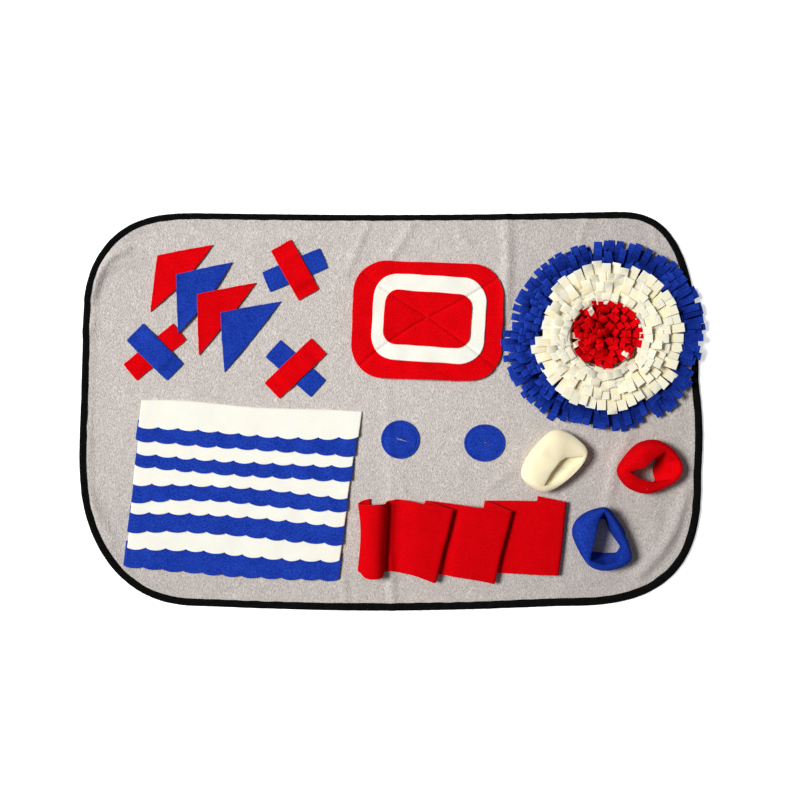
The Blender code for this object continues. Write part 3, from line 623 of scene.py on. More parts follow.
def buildBinding():
    count = mat["tapeStations"]
    edge = closedOutline(count)
    outward = outwardOf(edge)
    x, y = edge.T
    lip = lipAt(x, y) + mat["lipWander"] * softNoise(x, y, 20 * mm, 21)
    plump = mat["plump"] * softNoise(x, y, 9 * mm, 22)
    lift = groundLift(*(edge - outward * lip[:, None]).T)
    t, top = mat["tape"], 2 * mat["tape"] + mat["thickness"] + 0.6 * mm
    seam = lip - mat["seamFromLip"]
    section = (     # inset and height round the tape, from its lower layer outwards and back
        (seam, 0.0), (3.5 * mm, 0.0), (1.2 * mm, 0.35 * mm), (0.35 * mm, 1.2 * mm),
        (0.0, 2.6 * mm), (0.4 * mm, top - 1.1 * mm), (1.6 * mm, top - 0.15 * mm),
        (3.5 * mm, top + 0.25 * mm), (5.6 * mm, top + 0.2 * mm), (seam - 0.9 * mm, top),
        (seam, top - 0.35 * mm), (seam + 0.9 * mm, top - 0.05 * mm), (lip, top - 0.05 * mm),
        (lip + 0.3 * mm, top - 0.45 * mm), (lip, top - t), (5 * mm, top - t),
        (t + 0.6 * mm, top - t - 0.3 * mm), (t, 2.8 * mm), (t + 0.6 * mm, t + 0.3 * mm),
        (5 * mm, t), (lip, t), (lip, 0.05 * mm),
    )
    rings = []
    for number, (inset, height) in enumerate(section):
        swollen = plump * (3 <= number < 9)     # the face that shows is soft
        ring = edge - outward * (inset - swollen * 0.6)[:, None]
        rings.append(np.column_stack([ring, height + lift + swollen * 0.4]))
    sides = len(rings)
    points = np.stack(rings, axis=1).reshape(-1, 3)
    mesh = makeMesh("edgeBinding", points, gridFaces(count, sides, True, True, flip=True),
                    gridPlaces(lengths(edge), lengths(points[:sides])))
    binding = addPiece("edgeBinding", mesh, "tape", "edge_binding")
    path = np.column_stack([edge - outward * seam[:, None], top - 0.25 * mm + lift])
    stitches = sewSeam("bindingStitches", [np.concatenate([path, path[:1]])], "blackThread")
    print("binding and its seam:", len(binding.data.polygons), len(stitches.data.polygons))
    return binding, stitches


groundFleece = buildGround()
edgeBinding, bindingStitches = buildBinding()


def starSheet(name, outline, centre, height, finish, node, ringSize=3.0 * mm):
    # A sheet inside an outline that its centre sees all of; height gives its middle surface
    reach = np.hypot(*(outline - centre).T)
    count, ringCount = len(outline), max(3, round(reach.max() / ringSize))
    rings = [outline + (centre - outline) * (inset / reach)[:, None] for inset in nearRim]
    insets = [np.full(count, inset) for inset in nearRim]
    inner = rings[-1]
    for ring in range(1, ringCount):
        rings.append(inner + (centre - inner) * (ring / ringCount))
        insets.append(nearRim[-1] + (reach - nearRim[-1]) * (ring / ringCount))
    place = np.concatenate([*rings, [centre]])
    last = (len(rings) - 1) * count
    faces = gridFaces(len(rings), count, around=True)
    faces += [(last + side, last + (side + 1) % count, last + count) for side in range(count)]
    return makeSheet(name, np.column_stack([place, height(*place.T)]), faces, place,
                     np.concatenate([*insets, [reach.min()]]), finish, node)


# Triangle flaps, lowest first, one tucked over the next
flaps = {
    "seamInset": 2.6 * mm,
    "stepSize": 2 * mm,
    "legBow": 0.5 * mm,
    "wobble": 0.35 * mm,
    "flare": 0.9 * mm,      # of the loose edge, beside its middle
    "crease": 0.5 * mm,     # from the apex to the loose edge
    "pieces": (     # finish; apex, right and low corner; their heights; bow of the loose edge
        ("red", (-0.378, 0.251), (-0.288, 0.268), (-0.389, 0.160), (0.3, 0.8, 0.8), 6.0),
        ("blue", (-0.347, 0.220), (-0.257, 0.240), (-0.344, 0.125), (4.4, 0.8, 3.4), 5.5),
        ("red", (-0.313, 0.188), (-0.219, 0.207), (-0.311, 0.090), (6.8, 0.8, 1.0), 1.6),
        ("blue", (-0.276, 0.159), (-0.179, 0.177), (-0.270, 0.063), (5.0, 0.6, 0.6), 2.0),
    ),
}


def buildFlap(number, finish, apex, right, low, heights, bow):
    apex, right, low = map(np.array, (apex, right, low))

    def side(start, end, out):
        way = end - start
        size = np.linalg.norm(way)
        count = max(8, round(size / flaps["stepSize"]))
        shares = np.linspace(0, 1, count, endpoint=False)[:, None]
        line = start + way * shares
        arch = np.sin(np.pi * shares)
        wobble = flaps["wobble"] * softNoise(line[:, :1], line[:, 1:], 11 * mm, 30 + number)
        return line + np.array((way[1], -way[0])) / size * (out * arch + wobble * arch ** 0.5)

    legOne, legTwo = side(apex, low, flaps["legBow"]), side(right, apex, flaps["legBow"])
    loose = side(low, right, bow * mm)
    outline = np.concatenate([legOne, loose, legTwo])
    unskew = np.linalg.inv(np.column_stack([right - apex, low - apex]))

    def height(x, y):
        # The middle surface, from how far this place is towards the right and the low corner
        rightward, downward = unskew @ np.stack([x - apex[0], y - apex[1]])
        both = rightward + downward
        up = heights[0] + rightward * (heights[1] - heights[0]) + downward * (
            heights[2] - heights[0])
        between = np.clip(downward / np.maximum(both, 0.05), 0, 1)
        flare = flaps["flare"] * np.sin(2 * np.pi * between) ** 2 * np.clip(both, 0, 1) ** 4
        crease = flaps["crease"] * mound(rightward - downward, 0.05) * (both < 0.9)
        crease = crease * np.clip(both * 4, 0, 1)
        return groundTop + groundLift(x, y) + up * mm + flare - crease + sheetThick / 2

    name = f"triangleFlap{number}"
    flap = starSheet(name, outline, (apex + right + low) / 3, height, finish,
                     f"triangle_flap_{number}")
    inner = outline - outwardOf(outline) * flaps["seamInset"]
    paths = [np.column_stack([leg, height(*leg.T) + sheetThick / 2])
             for leg in (inner[3:len(legOne) - 4], inner[-len(legTwo) + 4:-3])]
    seam = sewSeam(name + "Stitches", paths, finish + "Thread")


for number, values in enumerate(flaps["pieces"], start=1):
    buildFlap(number, *values)
print("triangle flaps:", len(flaps["pieces"]))


# Crossed strips
crosses = {
    "seamInset": 2.6 * mm,
    "bridge": 2.5 * mm,     # height of the upper strip where it crosses
    "slope": 0.28,          # the way down from there, as a share of half the length
    "cornerRound": 1.0 * mm,
    "cell": 2.5 * mm,
    "pullReach": 6 * mm,
    "wobble": 0.3 * mm,
    "seamDip": 0.35 * mm,
    "crown": 0.5 * mm,
    "wave": 0.25 * mm,
    "pieces": (     # middle; lower finish, length, width, degrees; the same for the upper
        ((-0.1565, 0.2272), ("blue", 0.1015, 0.035, 22.6), ("red", 0.092, 0.038, -60.6)),
        ((-0.1556, 0.0692), ("blue", 0.098, 0.037, -41.5), ("red", 0.105, 0.036, 43.7)),
        ((-0.3815, 0.0956), ("red", 0.104, 0.0345, 39.4), ("blue", 0.092, 0.039, -44.8)),
    ),
}


def buildStrip(name, node, middle, finish, length, width, degrees, seed, bridge=None):
    turn = math.radians(degrees)
    half = np.array((length, width)) / 2
    columns, rows = (steps(2 * size, crosses["cell"]) - size for size in half)
    at = gridPlaces(rows, columns)[:, ::-1]     # along and across
    pull = np.clip((np.abs(at) - half) / crosses["pullReach"] + 1, 0, 1)
    wobble = crosses["wobble"] * softNoise(*at.T, 12 * mm, seed)[:, None]
    corner = crosses["cornerRound"] * 0.5 * pull.prod(axis=1, keepdims=True) ** 3

    def rise(away):
        # The upper strip bridges the lower one
        if bridge is None:
            return 0.0
        slope = crosses["slope"] * half[0]
        share = np.clip((bridge + slope - away) / slope, 0, 1)
        return 0.3 * mm + (crosses["bridge"] - 0.1 * mm) * easeIn(share)

    def height(at, place):
        away = half - np.abs(at) - crosses["seamInset"]
        dip = crosses["seamDip"] * mound(away, mm).sum(axis=1)
        crownU, crownV = np.cos(np.pi * at / (2 * half)).T
        wave = crosses["wave"] * softNoise(*at.T, 25 * mm, seed + 1) * crownV
        crown = crosses["crown"] * crownU * crownV
        return resting(*place.T) + rise(np.abs(at[:, 0])) + crown + wave - dip

    place = middle + turned(at + np.sign(at) * (wobble * pull ** 2 - corner), turn)
    strip = makeSheet(name, np.column_stack([place, height(at, place)]),
                      gridFaces(len(rows), len(columns)), at + (seed, 0),
                      (half - np.abs(at)).min(axis=1), finish, node)
    corners = (half - crosses["seamInset"]) * ((-1, -1), (1, -1), (1, 1), (-1, 1), (-1, -1))
    paths = []
    for start, end in zip(corners, corners[1:]):
        line = np.linspace(start, end, 40)
        place = middle + turned(line, turn)
        top = height(line, place) + sheetThick / 2 - 0.1 * mm
        paths.append(np.column_stack([place, top]))
    seam = sewSeam(name + "Stitches", paths, finish + "Thread")


for number, (middle, lower, upper) in enumerate(crosses["pieces"], start=1):
    bridge = lower[2] / 2 + 4 * mm
    buildStrip(f"cross{number}Lower", f"cross_{number}_lower", middle, *lower, 40 + number)
    buildStrip(f"cross{number}Upper", f"cross_{number}_upper", middle, *upper, 50 + number,
               bridge)
print("crosses:", len(crosses["pieces"]))


# Stacked frames, sewn through from their middle to each corner
frames = {
    "gap": 0.3 * mm,
    "middle": (0.0572, 0.1507),
    "puff": 0.023,      # rise for each metre out, midway between two seams
    "groove": 2.1 * mm,
    "grooveWide": 2.4 * mm,
    "seams": ((-34.5, -36.5), (26, 30), (150, 144.5), (208, 216)),    # degrees near and far
    "seamReach": 0.15,
    "ringSize": 2.4 * mm,
    "wobble": 0.7 * mm,     # of each outline
    "wave": 1.0 * mm,       # of each surface, in full this far from the middle
    "waveFrom": 0.08,
    "waveSize": 24 * mm,
    "pieces": (     # name, node, finish, middle x and y, width, height, corner, degrees
        ("frameOuter", "frame_outer", "red", 0.0558, 0.1452, 0.2412, 0.1884, 0.0519, -1.8),
        ("frameMiddle", "frame_middle", "cream", 0.0583, 0.1487, 0.1808, 0.1389, 0.0393, -3.5),
        ("frameInner", "frame_inner", "red", 0.0559, 0.1481, 0.1397, 0.0875, 0.0219, -4.0),
    ),
}


def frameOutline(x, y, width, height, corner, degrees, seed):
    # A rounded rectangle seen from where the seams cross, with slightly wavy sides
    centre = np.array(frames["middle"])
    turns = np.linspace(0, 2 * math.pi, 360, endpoint=False)
    way = circle(turns)
    near, far = np.zeros(len(turns)), np.full(len(turns), width)
    for _ in range(40):     # halves the way to the outline each time
        half = (near + far) / 2
        spot = turned(way * half[:, None] + centre - (x, y), -math.radians(degrees))
        away = np.abs(spot) - (width / 2 - corner, height / 2 - corner)
        outside = np.hypot(*np.maximum(away, 0).T) + np.minimum(away.max(axis=1), 0) - corner
        near, far = np.where(outside < 0, half, near), np.where(outside < 0, far, half)
    reach = near + frames["wobble"] * softNoise(*(near * way.T), frames["waveSize"], seed)
    return centre + way * reach[:, None]


def seamTurns(reach):
    # Where each seam runs at this reach, in radians
    share = np.clip(reach / frames["seamReach"], 0, 1)
    return [np.radians(near + (far - near) * share) for near, far in frames["seams"]]


def framePuff(x, y):
    # All three frames rise together between the seams, which pull them down
    dx, dy = x - frames["middle"][0], y - frames["middle"][1]
    reach = np.hypot(dx, dy)
    seams = seamTurns(reach)
    turn = (np.arctan2(dy, dx) - seams[0]) % math.tau
    swell, seamAway = np.zeros(np.shape(turn)), np.ones(np.shape(turn))
    for here, ahead in zip(seams, (*seams[1:], seams[0])):
        past = turn - (here - seams[0])
        share = past / ((ahead - here) % math.tau)
        swell = np.where((share >= 0) & (share <= 1), np.sin(np.pi * share) ** 2, swell)
        apart = np.abs((past + np.pi) % math.tau - np.pi)
        seamAway = np.minimum(seamAway, np.where(apart < 1.5, reach * np.sin(apart), 1.0))
    groove = frames["groove"] * mound(seamAway, frames["grooveWide"])
    return frames["puff"] * reach * swell + frames["groove"] - groove * np.clip(
        reach / (6 * mm), 0.4, 1)


def buildFrame(level, name, node, finish, x, y, width, height, corner, degrees):
    middle = np.array(frames["middle"])
    outline = frameOutline(x, y, width, height, corner, degrees, 60 + level)
    base = level * (sheetThick + frames["gap"])

    def surface(px, py):
        wave = frames["wave"] * (1 + softNoise(px, py, frames["waveSize"], 70))
        away = np.hypot(px - middle[0], py - middle[1])
        return (base + resting(px, py) + framePuff(px, py)
                + wave * np.clip(away / frames["waveFrom"], 0, 1))

    piece = starSheet(name, outline, middle, surface, finish, node, frames["ringSize"])
    return piece, surface, outline, width * height - (4 - math.pi) * corner ** 2


framePieces = [buildFrame(level, *values) for level, values in enumerate(frames["pieces"])]


def sewFrames():
    # The seams lie on whichever frame is uppermost along the way
    middle = np.array(frames["middle"])
    seams = {"red": [], "cream": []}
    for number in range(4):
        start = 0.0
        for level in (2, 1, 0):
            _, surface, outline, _ = framePieces[level]
            away = (outline - middle).T
            reach = np.hypot(*away)
            apart = np.arctan2(*away[::-1]) - seamTurns(reach)[number]
            end = reach[np.argmin(np.abs((apart + np.pi) % math.tau - np.pi))]
            reach = np.linspace(start + 1.5 * mm, end - 1.5 * mm, 30)
            line = middle + circle(seamTurns(reach)[number]) * reach[:, None]
            top = surface(*line.T) + sheetThick / 2 - 0.25 * mm
            seams[frames["pieces"][level][2]].append(np.column_stack([line, top]))
            start = end
    return (sewSeam("frameSeamRed", seams["red"], "redThread"),
            sewSeam("frameSeamCream", seams["cream"], "creamThread"))


frameSeams = sewFrames()
carriers = (groundFleece, framePieces[0][0], framePieces[1][0])
for (piece, _, _, area), values, carrier, own in zip(
        framePieces, frames["pieces"], carriers, ([], [frameSeams[1]], [frameSeams[0]])):
    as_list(own)
print("stacked frames:", len(framePieces))


# Scalloped tiers, each lying on the one below it
panel = {
    "left": (-0.4040, 0.0185),
    "right": (-0.0500, 0.0000),
    "leftSlant": -0.105,
    "rightSlant": -0.137,
    "topWaves": (-0.4, 1.35, 1.64),     # mm, in one, two and three half waves
    "topWavesTo": 0.03,     # they fade out this far down
    "curl": 0.4 * mm,
    "ripple": 0.35 * mm,
    "rows": 14,
    "lap": 10 * mm,
    "scallops": 11,
    "stepsPerScallop": 16,
    "depth": 3.9 * mm,
    "fullness": 0.72,       # under 1 for flat arcs between sharp cusps
    "tiers": (      # finish; in mm: drop at the left and right, bow up, sway, ends' reach out
        ("cream", 42.0, 40.1, -3.9, 2.3, -1.0, 1.0),
        ("blue", 62.5, 70.3, -0.9, -0.6, 1.4, -0.6),
        ("cream", 84.3, 87.0, -3.0, -0.2, -2.6, -2.5),
        ("blue", 103.3, 110.0, -3.1, -0.5, -1.4, -0.6),
        ("cream", 134.1, 138.5, 7.0, 0.3, -1.8, -3.0),
        ("blue", 163.4, 158.8, 7.7, 3.3, -2.0, -1.5),
        ("cream", 179.9, 183.0, 5.9, 0.7, -2.7, -2.0),
        ("blue", 210.7, 212.1, 5.8, 2.2, -0.6, -0.4),
        ("cream", 236.3, 238.5, 0.8, 2.3, -3.3, -2.0),
        ("blue", 264.9, 268.6, -3.8, 0.5, 0.3, 0.6),
    ),
}


def tierEdge(number, share):
    # How far down the panel a tier's lower edge lies, between its cusps
    _, left, right, bow, sway, _, _ = panel["tiers"][number - 1]
    return (left + (right - left) * share - bow * np.sin(np.pi * share)
            - sway * np.sin(2 * np.pi * share)) * mm


def tierHeights(drop, edge, above, last):
    # Height of a tier's underside over the panel's floor, this far down it
    edgeUp = 2.4 if last else 3.6
    stepUp = 1.7 if last else 2.4
    spots = [edge - panel["lap"], edge, edge + panel["depth"]]
    heights = [stepUp, edgeUp, edgeUp + (edgeUp - stepUp) * 0.5]
    if above is None:
        return np.interp(drop, [0.0, *spots], [0.0, *heights]) * mm
    return np.interp(drop, [above - panel["lap"], above, *spots], [0.0, 1.0, *heights]) * mm


def buildTier(number, finish, leftOut, rightOut):
    last = number == len(panel["tiers"])
    dice = random.Random(80 + number)
    left, right = np.array(panel["left"]), np.array(panel["right"])
    length = np.linalg.norm(right - left)
    lobes = panel["scallops"]
    cuts = [0.0, *(lobe + dice.uniform(-0.05, 0.05) for lobe in range(1, lobes)), float(lobes)]
    phases = np.linspace(0, 1, panel["stepsPerScallop"], endpoint=False)
    columns, dips = [], []
    for start, end in zip(cuts, cuts[1:]):
        columns.extend((start + (end - start) * phases) / lobes)
        dips.extend(panel["depth"] * dice.uniform(0.88, 1.1)
                    * np.sin(np.pi * phases) ** panel["fullness"])
    ends = nearRim[1:-1] / length
    share = np.array([0.0, *ends, *columns[1:], *(1 - ends[::-1]), 1.0])
    dip = np.interp(share, [*columns, 1.0], [*dips, 0.0])
    edgeDrop = tierEdge(number, share)
    above = tierEdge(number - 1, share) if number > 1 else [None] * len(share)
    topDrop = above - panel["lap"] if number > 1 else 0.0
    bottom = edgeDrop + dip
    rows = np.linspace(0, 1, panel["rows"])[:, None]
    drop = np.concatenate([topDrop + (bottom - nearRim[-1] - topDrop) * rows,
                           bottom - nearRim[-2::-1, None]])
    inset = bottom - drop
    startX = left[0] + panel["leftSlant"] * drop - leftOut * mm
    endX = right[0] + panel["rightSlant"] * drop + rightOut * mm
    x = startX + (endX - startX) * share
    y = left[1] + (right[1] - left[1]) * share - drop
    if number == 1:
        y = y + np.clip(1 - drop / panel["topWavesTo"], 0, 1) * sum(
            wave * mm * np.sin((index + 1) * np.pi * share)
            for index, wave in enumerate(panel["topWaves"]))
    heights = np.array([[tierHeights(*levels, last) for levels in zip(row, edgeDrop, above)]
                        for row in drop])
    curl = panel["curl"] * np.clip(dip / panel["depth"], 0, 1) * np.exp(-inset / (5 * mm))
    ripple = panel["ripple"] * (1 + softNoise(x, y, 28 * mm, 7))
    z = resting(x, y) + heights + curl + ripple
    rim = np.minimum(inset, np.minimum(share, 1 - share) * length)
    if number > 1:
        rim[0] = 2 * mm     # sewn under the tier above, so it isn't a cut edge
    points = asPoints(x, y, z)
    tier = makeSheet(f"scallopTier{number:02d}", points, gridFaces(*x.shape, flip=True),
                     points[:, :2] + (number, 0), rim.ravel(), finish,
                     f"scallop_tier_{number:02d}")
    return tier, length, float(np.mean(bottom - topDrop))


for number in range(len(panel["tiers"]), 0, -1):
    values = panel["tiers"][number - 1]
    tier, length, high = buildTier(number, values[0], *values[5:])
print("scalloped tiers:", len(panel["tiers"]))


# Slit discs
discs = {
    "rings": (0.0, 0.6, 1.5, 3.0, 5.0, 7.0, 9.0, 15.5, 18, 20.5, 23),     # mm, as below
    "rimInsets": (5.5, 4.4, 3.6, 2.8, 1.5, 0.7, 0.25, 0.0),
    "rimSeam": 0.87,        # the seam's place, as a share of the radius
    "pieces": (     # name, node, x, y, width, height, degrees, open cut, closed cut
        ("slitDiscLeft", "slit_disc_left", 0.0126, -0.0451, 0.062, 0.062, -17, 24.8, 27.4),
        ("slitDiscRight", "slit_disc_right", 0.1480, -0.0506, 0.066, 0.060, -40, 24.0, 29.0),
    ),
    "spokes": 24,           # in each quarter between two cuts
    "peak": 1.3 * mm,       # in the middle, where the four corners lift
    "peakWide": 7 * mm,
    "dome": 0.7 * mm,
    "seamDip": 0.9 * mm,
    "dipWide": 1.2 * mm,
    "gapWide": 4 * mm,      # how far from a cut the cloth is pushed aside
    "openGap": 1.5 * mm,
    "closedGap": 0.5 * mm,
}


def weldSheet(name, points, faces, uv, fromRim, finish, node):
    # Joins points that lie in the same place, and then makes the sheet
    places, order = {}, []
    for point in points:
        key = tuple(round(value / (0.01 * mm)) for value in point)
        order.append(places.setdefault(key, len(places)))
    keep = [0] * len(places)
    for number, index in enumerate(order):
        keep[index] = number
    welded = [tuple(dict.fromkeys(order[corner] for corner in face)) for face in faces]
    return makeSheet(name, points[keep], [face for face in welded if len(face) > 2], uv[keep],
                     fromRim[keep], finish, node)


def buildDisc(name, node, x, y, width, height, degrees, openCut, closedCut):
    radius = (width + height) / 4
    cuts = (openCut * mm / 2, closedCut * mm / 2)
    gaps = (discs["openGap"], discs["closedGap"])
    rings = sorted((*(ring * mm for ring in discs["rings"]), *cuts))
    rings = np.array([*rings, *(radius - inset * mm for inset in discs["rimInsets"])])
    away = np.linspace(0, math.pi / 2, discs["spokes"] + 1)
    lift = (discs["peak"] * mound(rings, discs["peakWide"])
            + discs["dome"] * (1 - (rings / radius) ** 2)
            - discs["seamDip"] * mound(rings - discs["rimSeam"] * radius, discs["dipWide"]))
    points, faces, rims = [], [], []
    for quarter in range(4):
        faces += gridFaces(len(rings), len(away), flip=True,
                           start=quarter * len(rings) * len(away))
        local = rings[:, None, None] * circle(away)
        shift = np.zeros_like(local)
        rim = np.repeat((radius - rings)[:, None], len(away), axis=1)
        for side, spoke in enumerate((0, -1)):      # the cut at each end of the quarter
            cut, gap = cuts[(quarter + side) % 2], gaps[(quarter + side) % 2]
            lens = gap / 2 * np.maximum(0, 1 - (local[..., side] / cut) ** 2)
            shift[..., 1 - side] = lens * np.exp(-local[..., 1 - side] / discs["gapWide"])
            rim[rings < cut - 1e-6, spoke] = 0.35 * mm
        flat = turned(local + shift, math.radians(degrees) + quarter * math.pi / 2)
        px, py = np.moveaxis(flat * (width, height) / (2 * radius) + (x, y), -1, 0)
        points.append(asPoints(px, py, resting(px, py) + lift[:, None]))
        rims.append(rim.ravel())
    points = np.concatenate(points)
    return weldSheet(name, points, faces, points[:, :2] + (3, 0), np.concatenate(rims), "blue",
                     node)


for values in discs["pieces"]:
    disc = buildDisc(*values)
    x, y, width, height = values[2:6]
    size = np.array((width, height)) / 2 * discs["rimSeam"]
    ring = (x, y) + size * circle(np.linspace(0, 2 * math.pi, 90))
    top = resting(*ring.T) + sheetThick / 2 - 0.6 * mm
    seam = sewSeam(values[0] + "Stitches", [np.column_stack([ring, top])], "blueThread")
print("slit discs:", len(discs["pieces"]))


# Pleated strip: its lines from the upper to the lower edge, in order along the cloth
pleats = {
    "thickness": 2.5 * mm,
    "fold": 1.6 * mm,       # half the distance between the layers at a fold
    "rows": 40,
    "stepSize": 1.85 * mm,
    "sag": 0.8 * mm,
    "wave": 0.5 * mm,
    "sway": 0.9 * mm,
    "tuck": 4.4 * mm,       # the rolled end is drawn in at mid height
    # share of painted shade laid over the whole strip
    "paintedShadeShare": 0.36,
    "lines": (      # upper x and y, lower x and y, height, side and climb of a fold
        (-36, -140, -34, -252, 2.2, 0, 0), (-48, -143, -48, -254, 2.4, 0, 0),
        (-54.4, -147, -55, -255.6, 6.6, 0, 0), (-51.5, -148, -51, -258, 11.5, 0, 0),
        (-41, -148, -42, -265.4, 20.5, 0, 0), (-22, -147.5, -25, -266.5, 23.5, 0, 0),
        (-11.5, -146.5, -16.5, -264, 16.5, 0, 0), (-8.5, -144, -13.5, -257, 5.5, 0, 0),
        (-3, -142.5, -8, -256, 2.2, 0, 0), (0.5, -142, -4.5, -256, 2.6, 0, 0),
        (5, -141, 0, -256.5, 1.6, 0, 0), (15, -141.5, 8, -258, 2.6, 0, 0),
        (27, -142.8, 19, -259.5, 7.2, 0, 0),
        (45, -146.5, 33, -262, 12, 0, 0), (80, -152.5, 54, -269, 14.8, 0, 0),
        (97.5, -156, 68, -273.5, 13.5, 1, -1), (53.5, -143, 28, -260, 3.2, -1, -1),
        (85, -146.5, 60, -260, 1.6, 0, 0), (105, -149, 85, -262.5, 5, 0, 0),
        (117, -150.5, 96, -264.2, 9.6, 0, 0),
        (140, -153.5, 120, -267.5, 12.8, 0, 0), (172, -156, 147, -272, 14.2, 0, 0),
        (190.5, -158, 162, -275, 12.8, 1, -1), (149.5, -143, 122, -259, 3.2, -1, -1),
        (183, -143, 158, -258.5, 1.6, 0, 0), (203, -143, 180, -259.5, 4, 0, 0),
        (240, -143.2, 222, -261, 9.5, 0, 0), (262, -143.8, 248, -262, 11.2, 0, 0),
        (277.5, -144, 264.5, -262.3, 9.5, 1, -1), (250, -139, 237, -260, 3, 0, 0),
        (233, -135.5, 219, -257.5, 1.8, 0, 0),
    ),
}


def pleatRails():
    # The strip's upper and lower edge as rounded paths with the same stations
    upper, lower = [], []
    for ux, uy, lx, ly, up, side, climb in pleats["lines"]:
        for turn in (-1, 0, 1) if side else (0,):       # three points round a fold
            shift = np.array((-side * abs(turn), 0, climb * turn)) * pleats["fold"]
            shift[2] += groundTop
            upper.append(np.array((ux, uy, up)) * mm + shift)
            lower.append(np.array((lx, ly, up)) * mm + shift)
    return upper, lower


def centripetal(points, counts):
    # A rounded path that doesn't overshoot, with the given steps between its points
    points = [2 * points[0] - points[1], *points, 2 * points[-1] - points[-2]]
    path = []

    def blend(low, high, start, end):
        return ((high - t) * start + (t - low) * end) / (high - low)

    for number, count in enumerate(counts):
        a, b, c, d = points[number:number + 4]
        k1, k2, k3 = np.cumsum([max(np.linalg.norm(end - start), 1e-9) ** 0.5
                                for start, end in ((a, b), (b, c), (c, d))])
        t = (k1 + (k2 - k1) * np.arange(count) / count)[:, None]
        first, second, third = blend(0, k1, a, b), blend(k1, k2, b, c), blend(k2, k3, c, d)
        path.extend(blend(k1, k2, blend(0, k2, first, second), blend(k1, k3, second, third)))
    return np.array([*path, points[-2]])


def buildPleats():
    upper, lower = pleatRails()
    counts = [max(2, round(np.linalg.norm(ahead - here) / pleats["stepSize"]))
              for here, ahead in zip(upper, upper[1:])]
    high, low = centripetal(upper, counts), centripetal(lower, counts)
    along = lengths((high + low) / 2)
    width = float(np.mean(np.linalg.norm(high - low, axis=1)))
    share = (steps(width, width / pleats["rows"]) / width)[:, None]
    x, y, z = (low[None] + (high - low) * share[..., None]).transpose(2, 0, 1)
    across = np.broadcast_to(share * width, x.shape)
    openness = np.clip((z - groundTop - 2 * mm) / (8 * mm), 0, 1)
    arch = np.sin(math.pi * share)
    wave = pleats["wave"] * softNoise(along, across, 34 * mm, 120)
    z = z + groundLift(x, y) + (wave - pleats["sag"] * arch) * openness
    sway = pleats["sway"] * softNoise(along * 0.4, across, 45 * mm, 121)
    x = x + (sway + pleats["tuck"] * np.clip((-30 * mm - x) / (24 * mm), 0, 1)) * arch
    rim = np.minimum(np.minimum(along, along[-1] - along) + 0.3 * mm,
                     np.minimum(share, 1 - share) * width)
    uv = gridPlaces(share * width, along)[:, ::-1]
    strip = makeSheet("pleatedStrip", asPoints(x, y, z), gridFaces(*x.shape), uv, rim.ravel(),
                      "red", "pleated_strip", pleats["thickness"])
    paintedShadeShare = strip.data.attributes.new("root", "FLOAT", "POINT")    # painted shade over the whole strip, for the dimmer light near the mat's lower edge
    paintedShadeShare.data.foreach_set("value", np.full(len(strip.data.vertices), pleats["paintedShadeShare"]))
    print("pleated strip: flat", round(width, 3), "by", round(float(along[-1]), 3))


buildPleats()


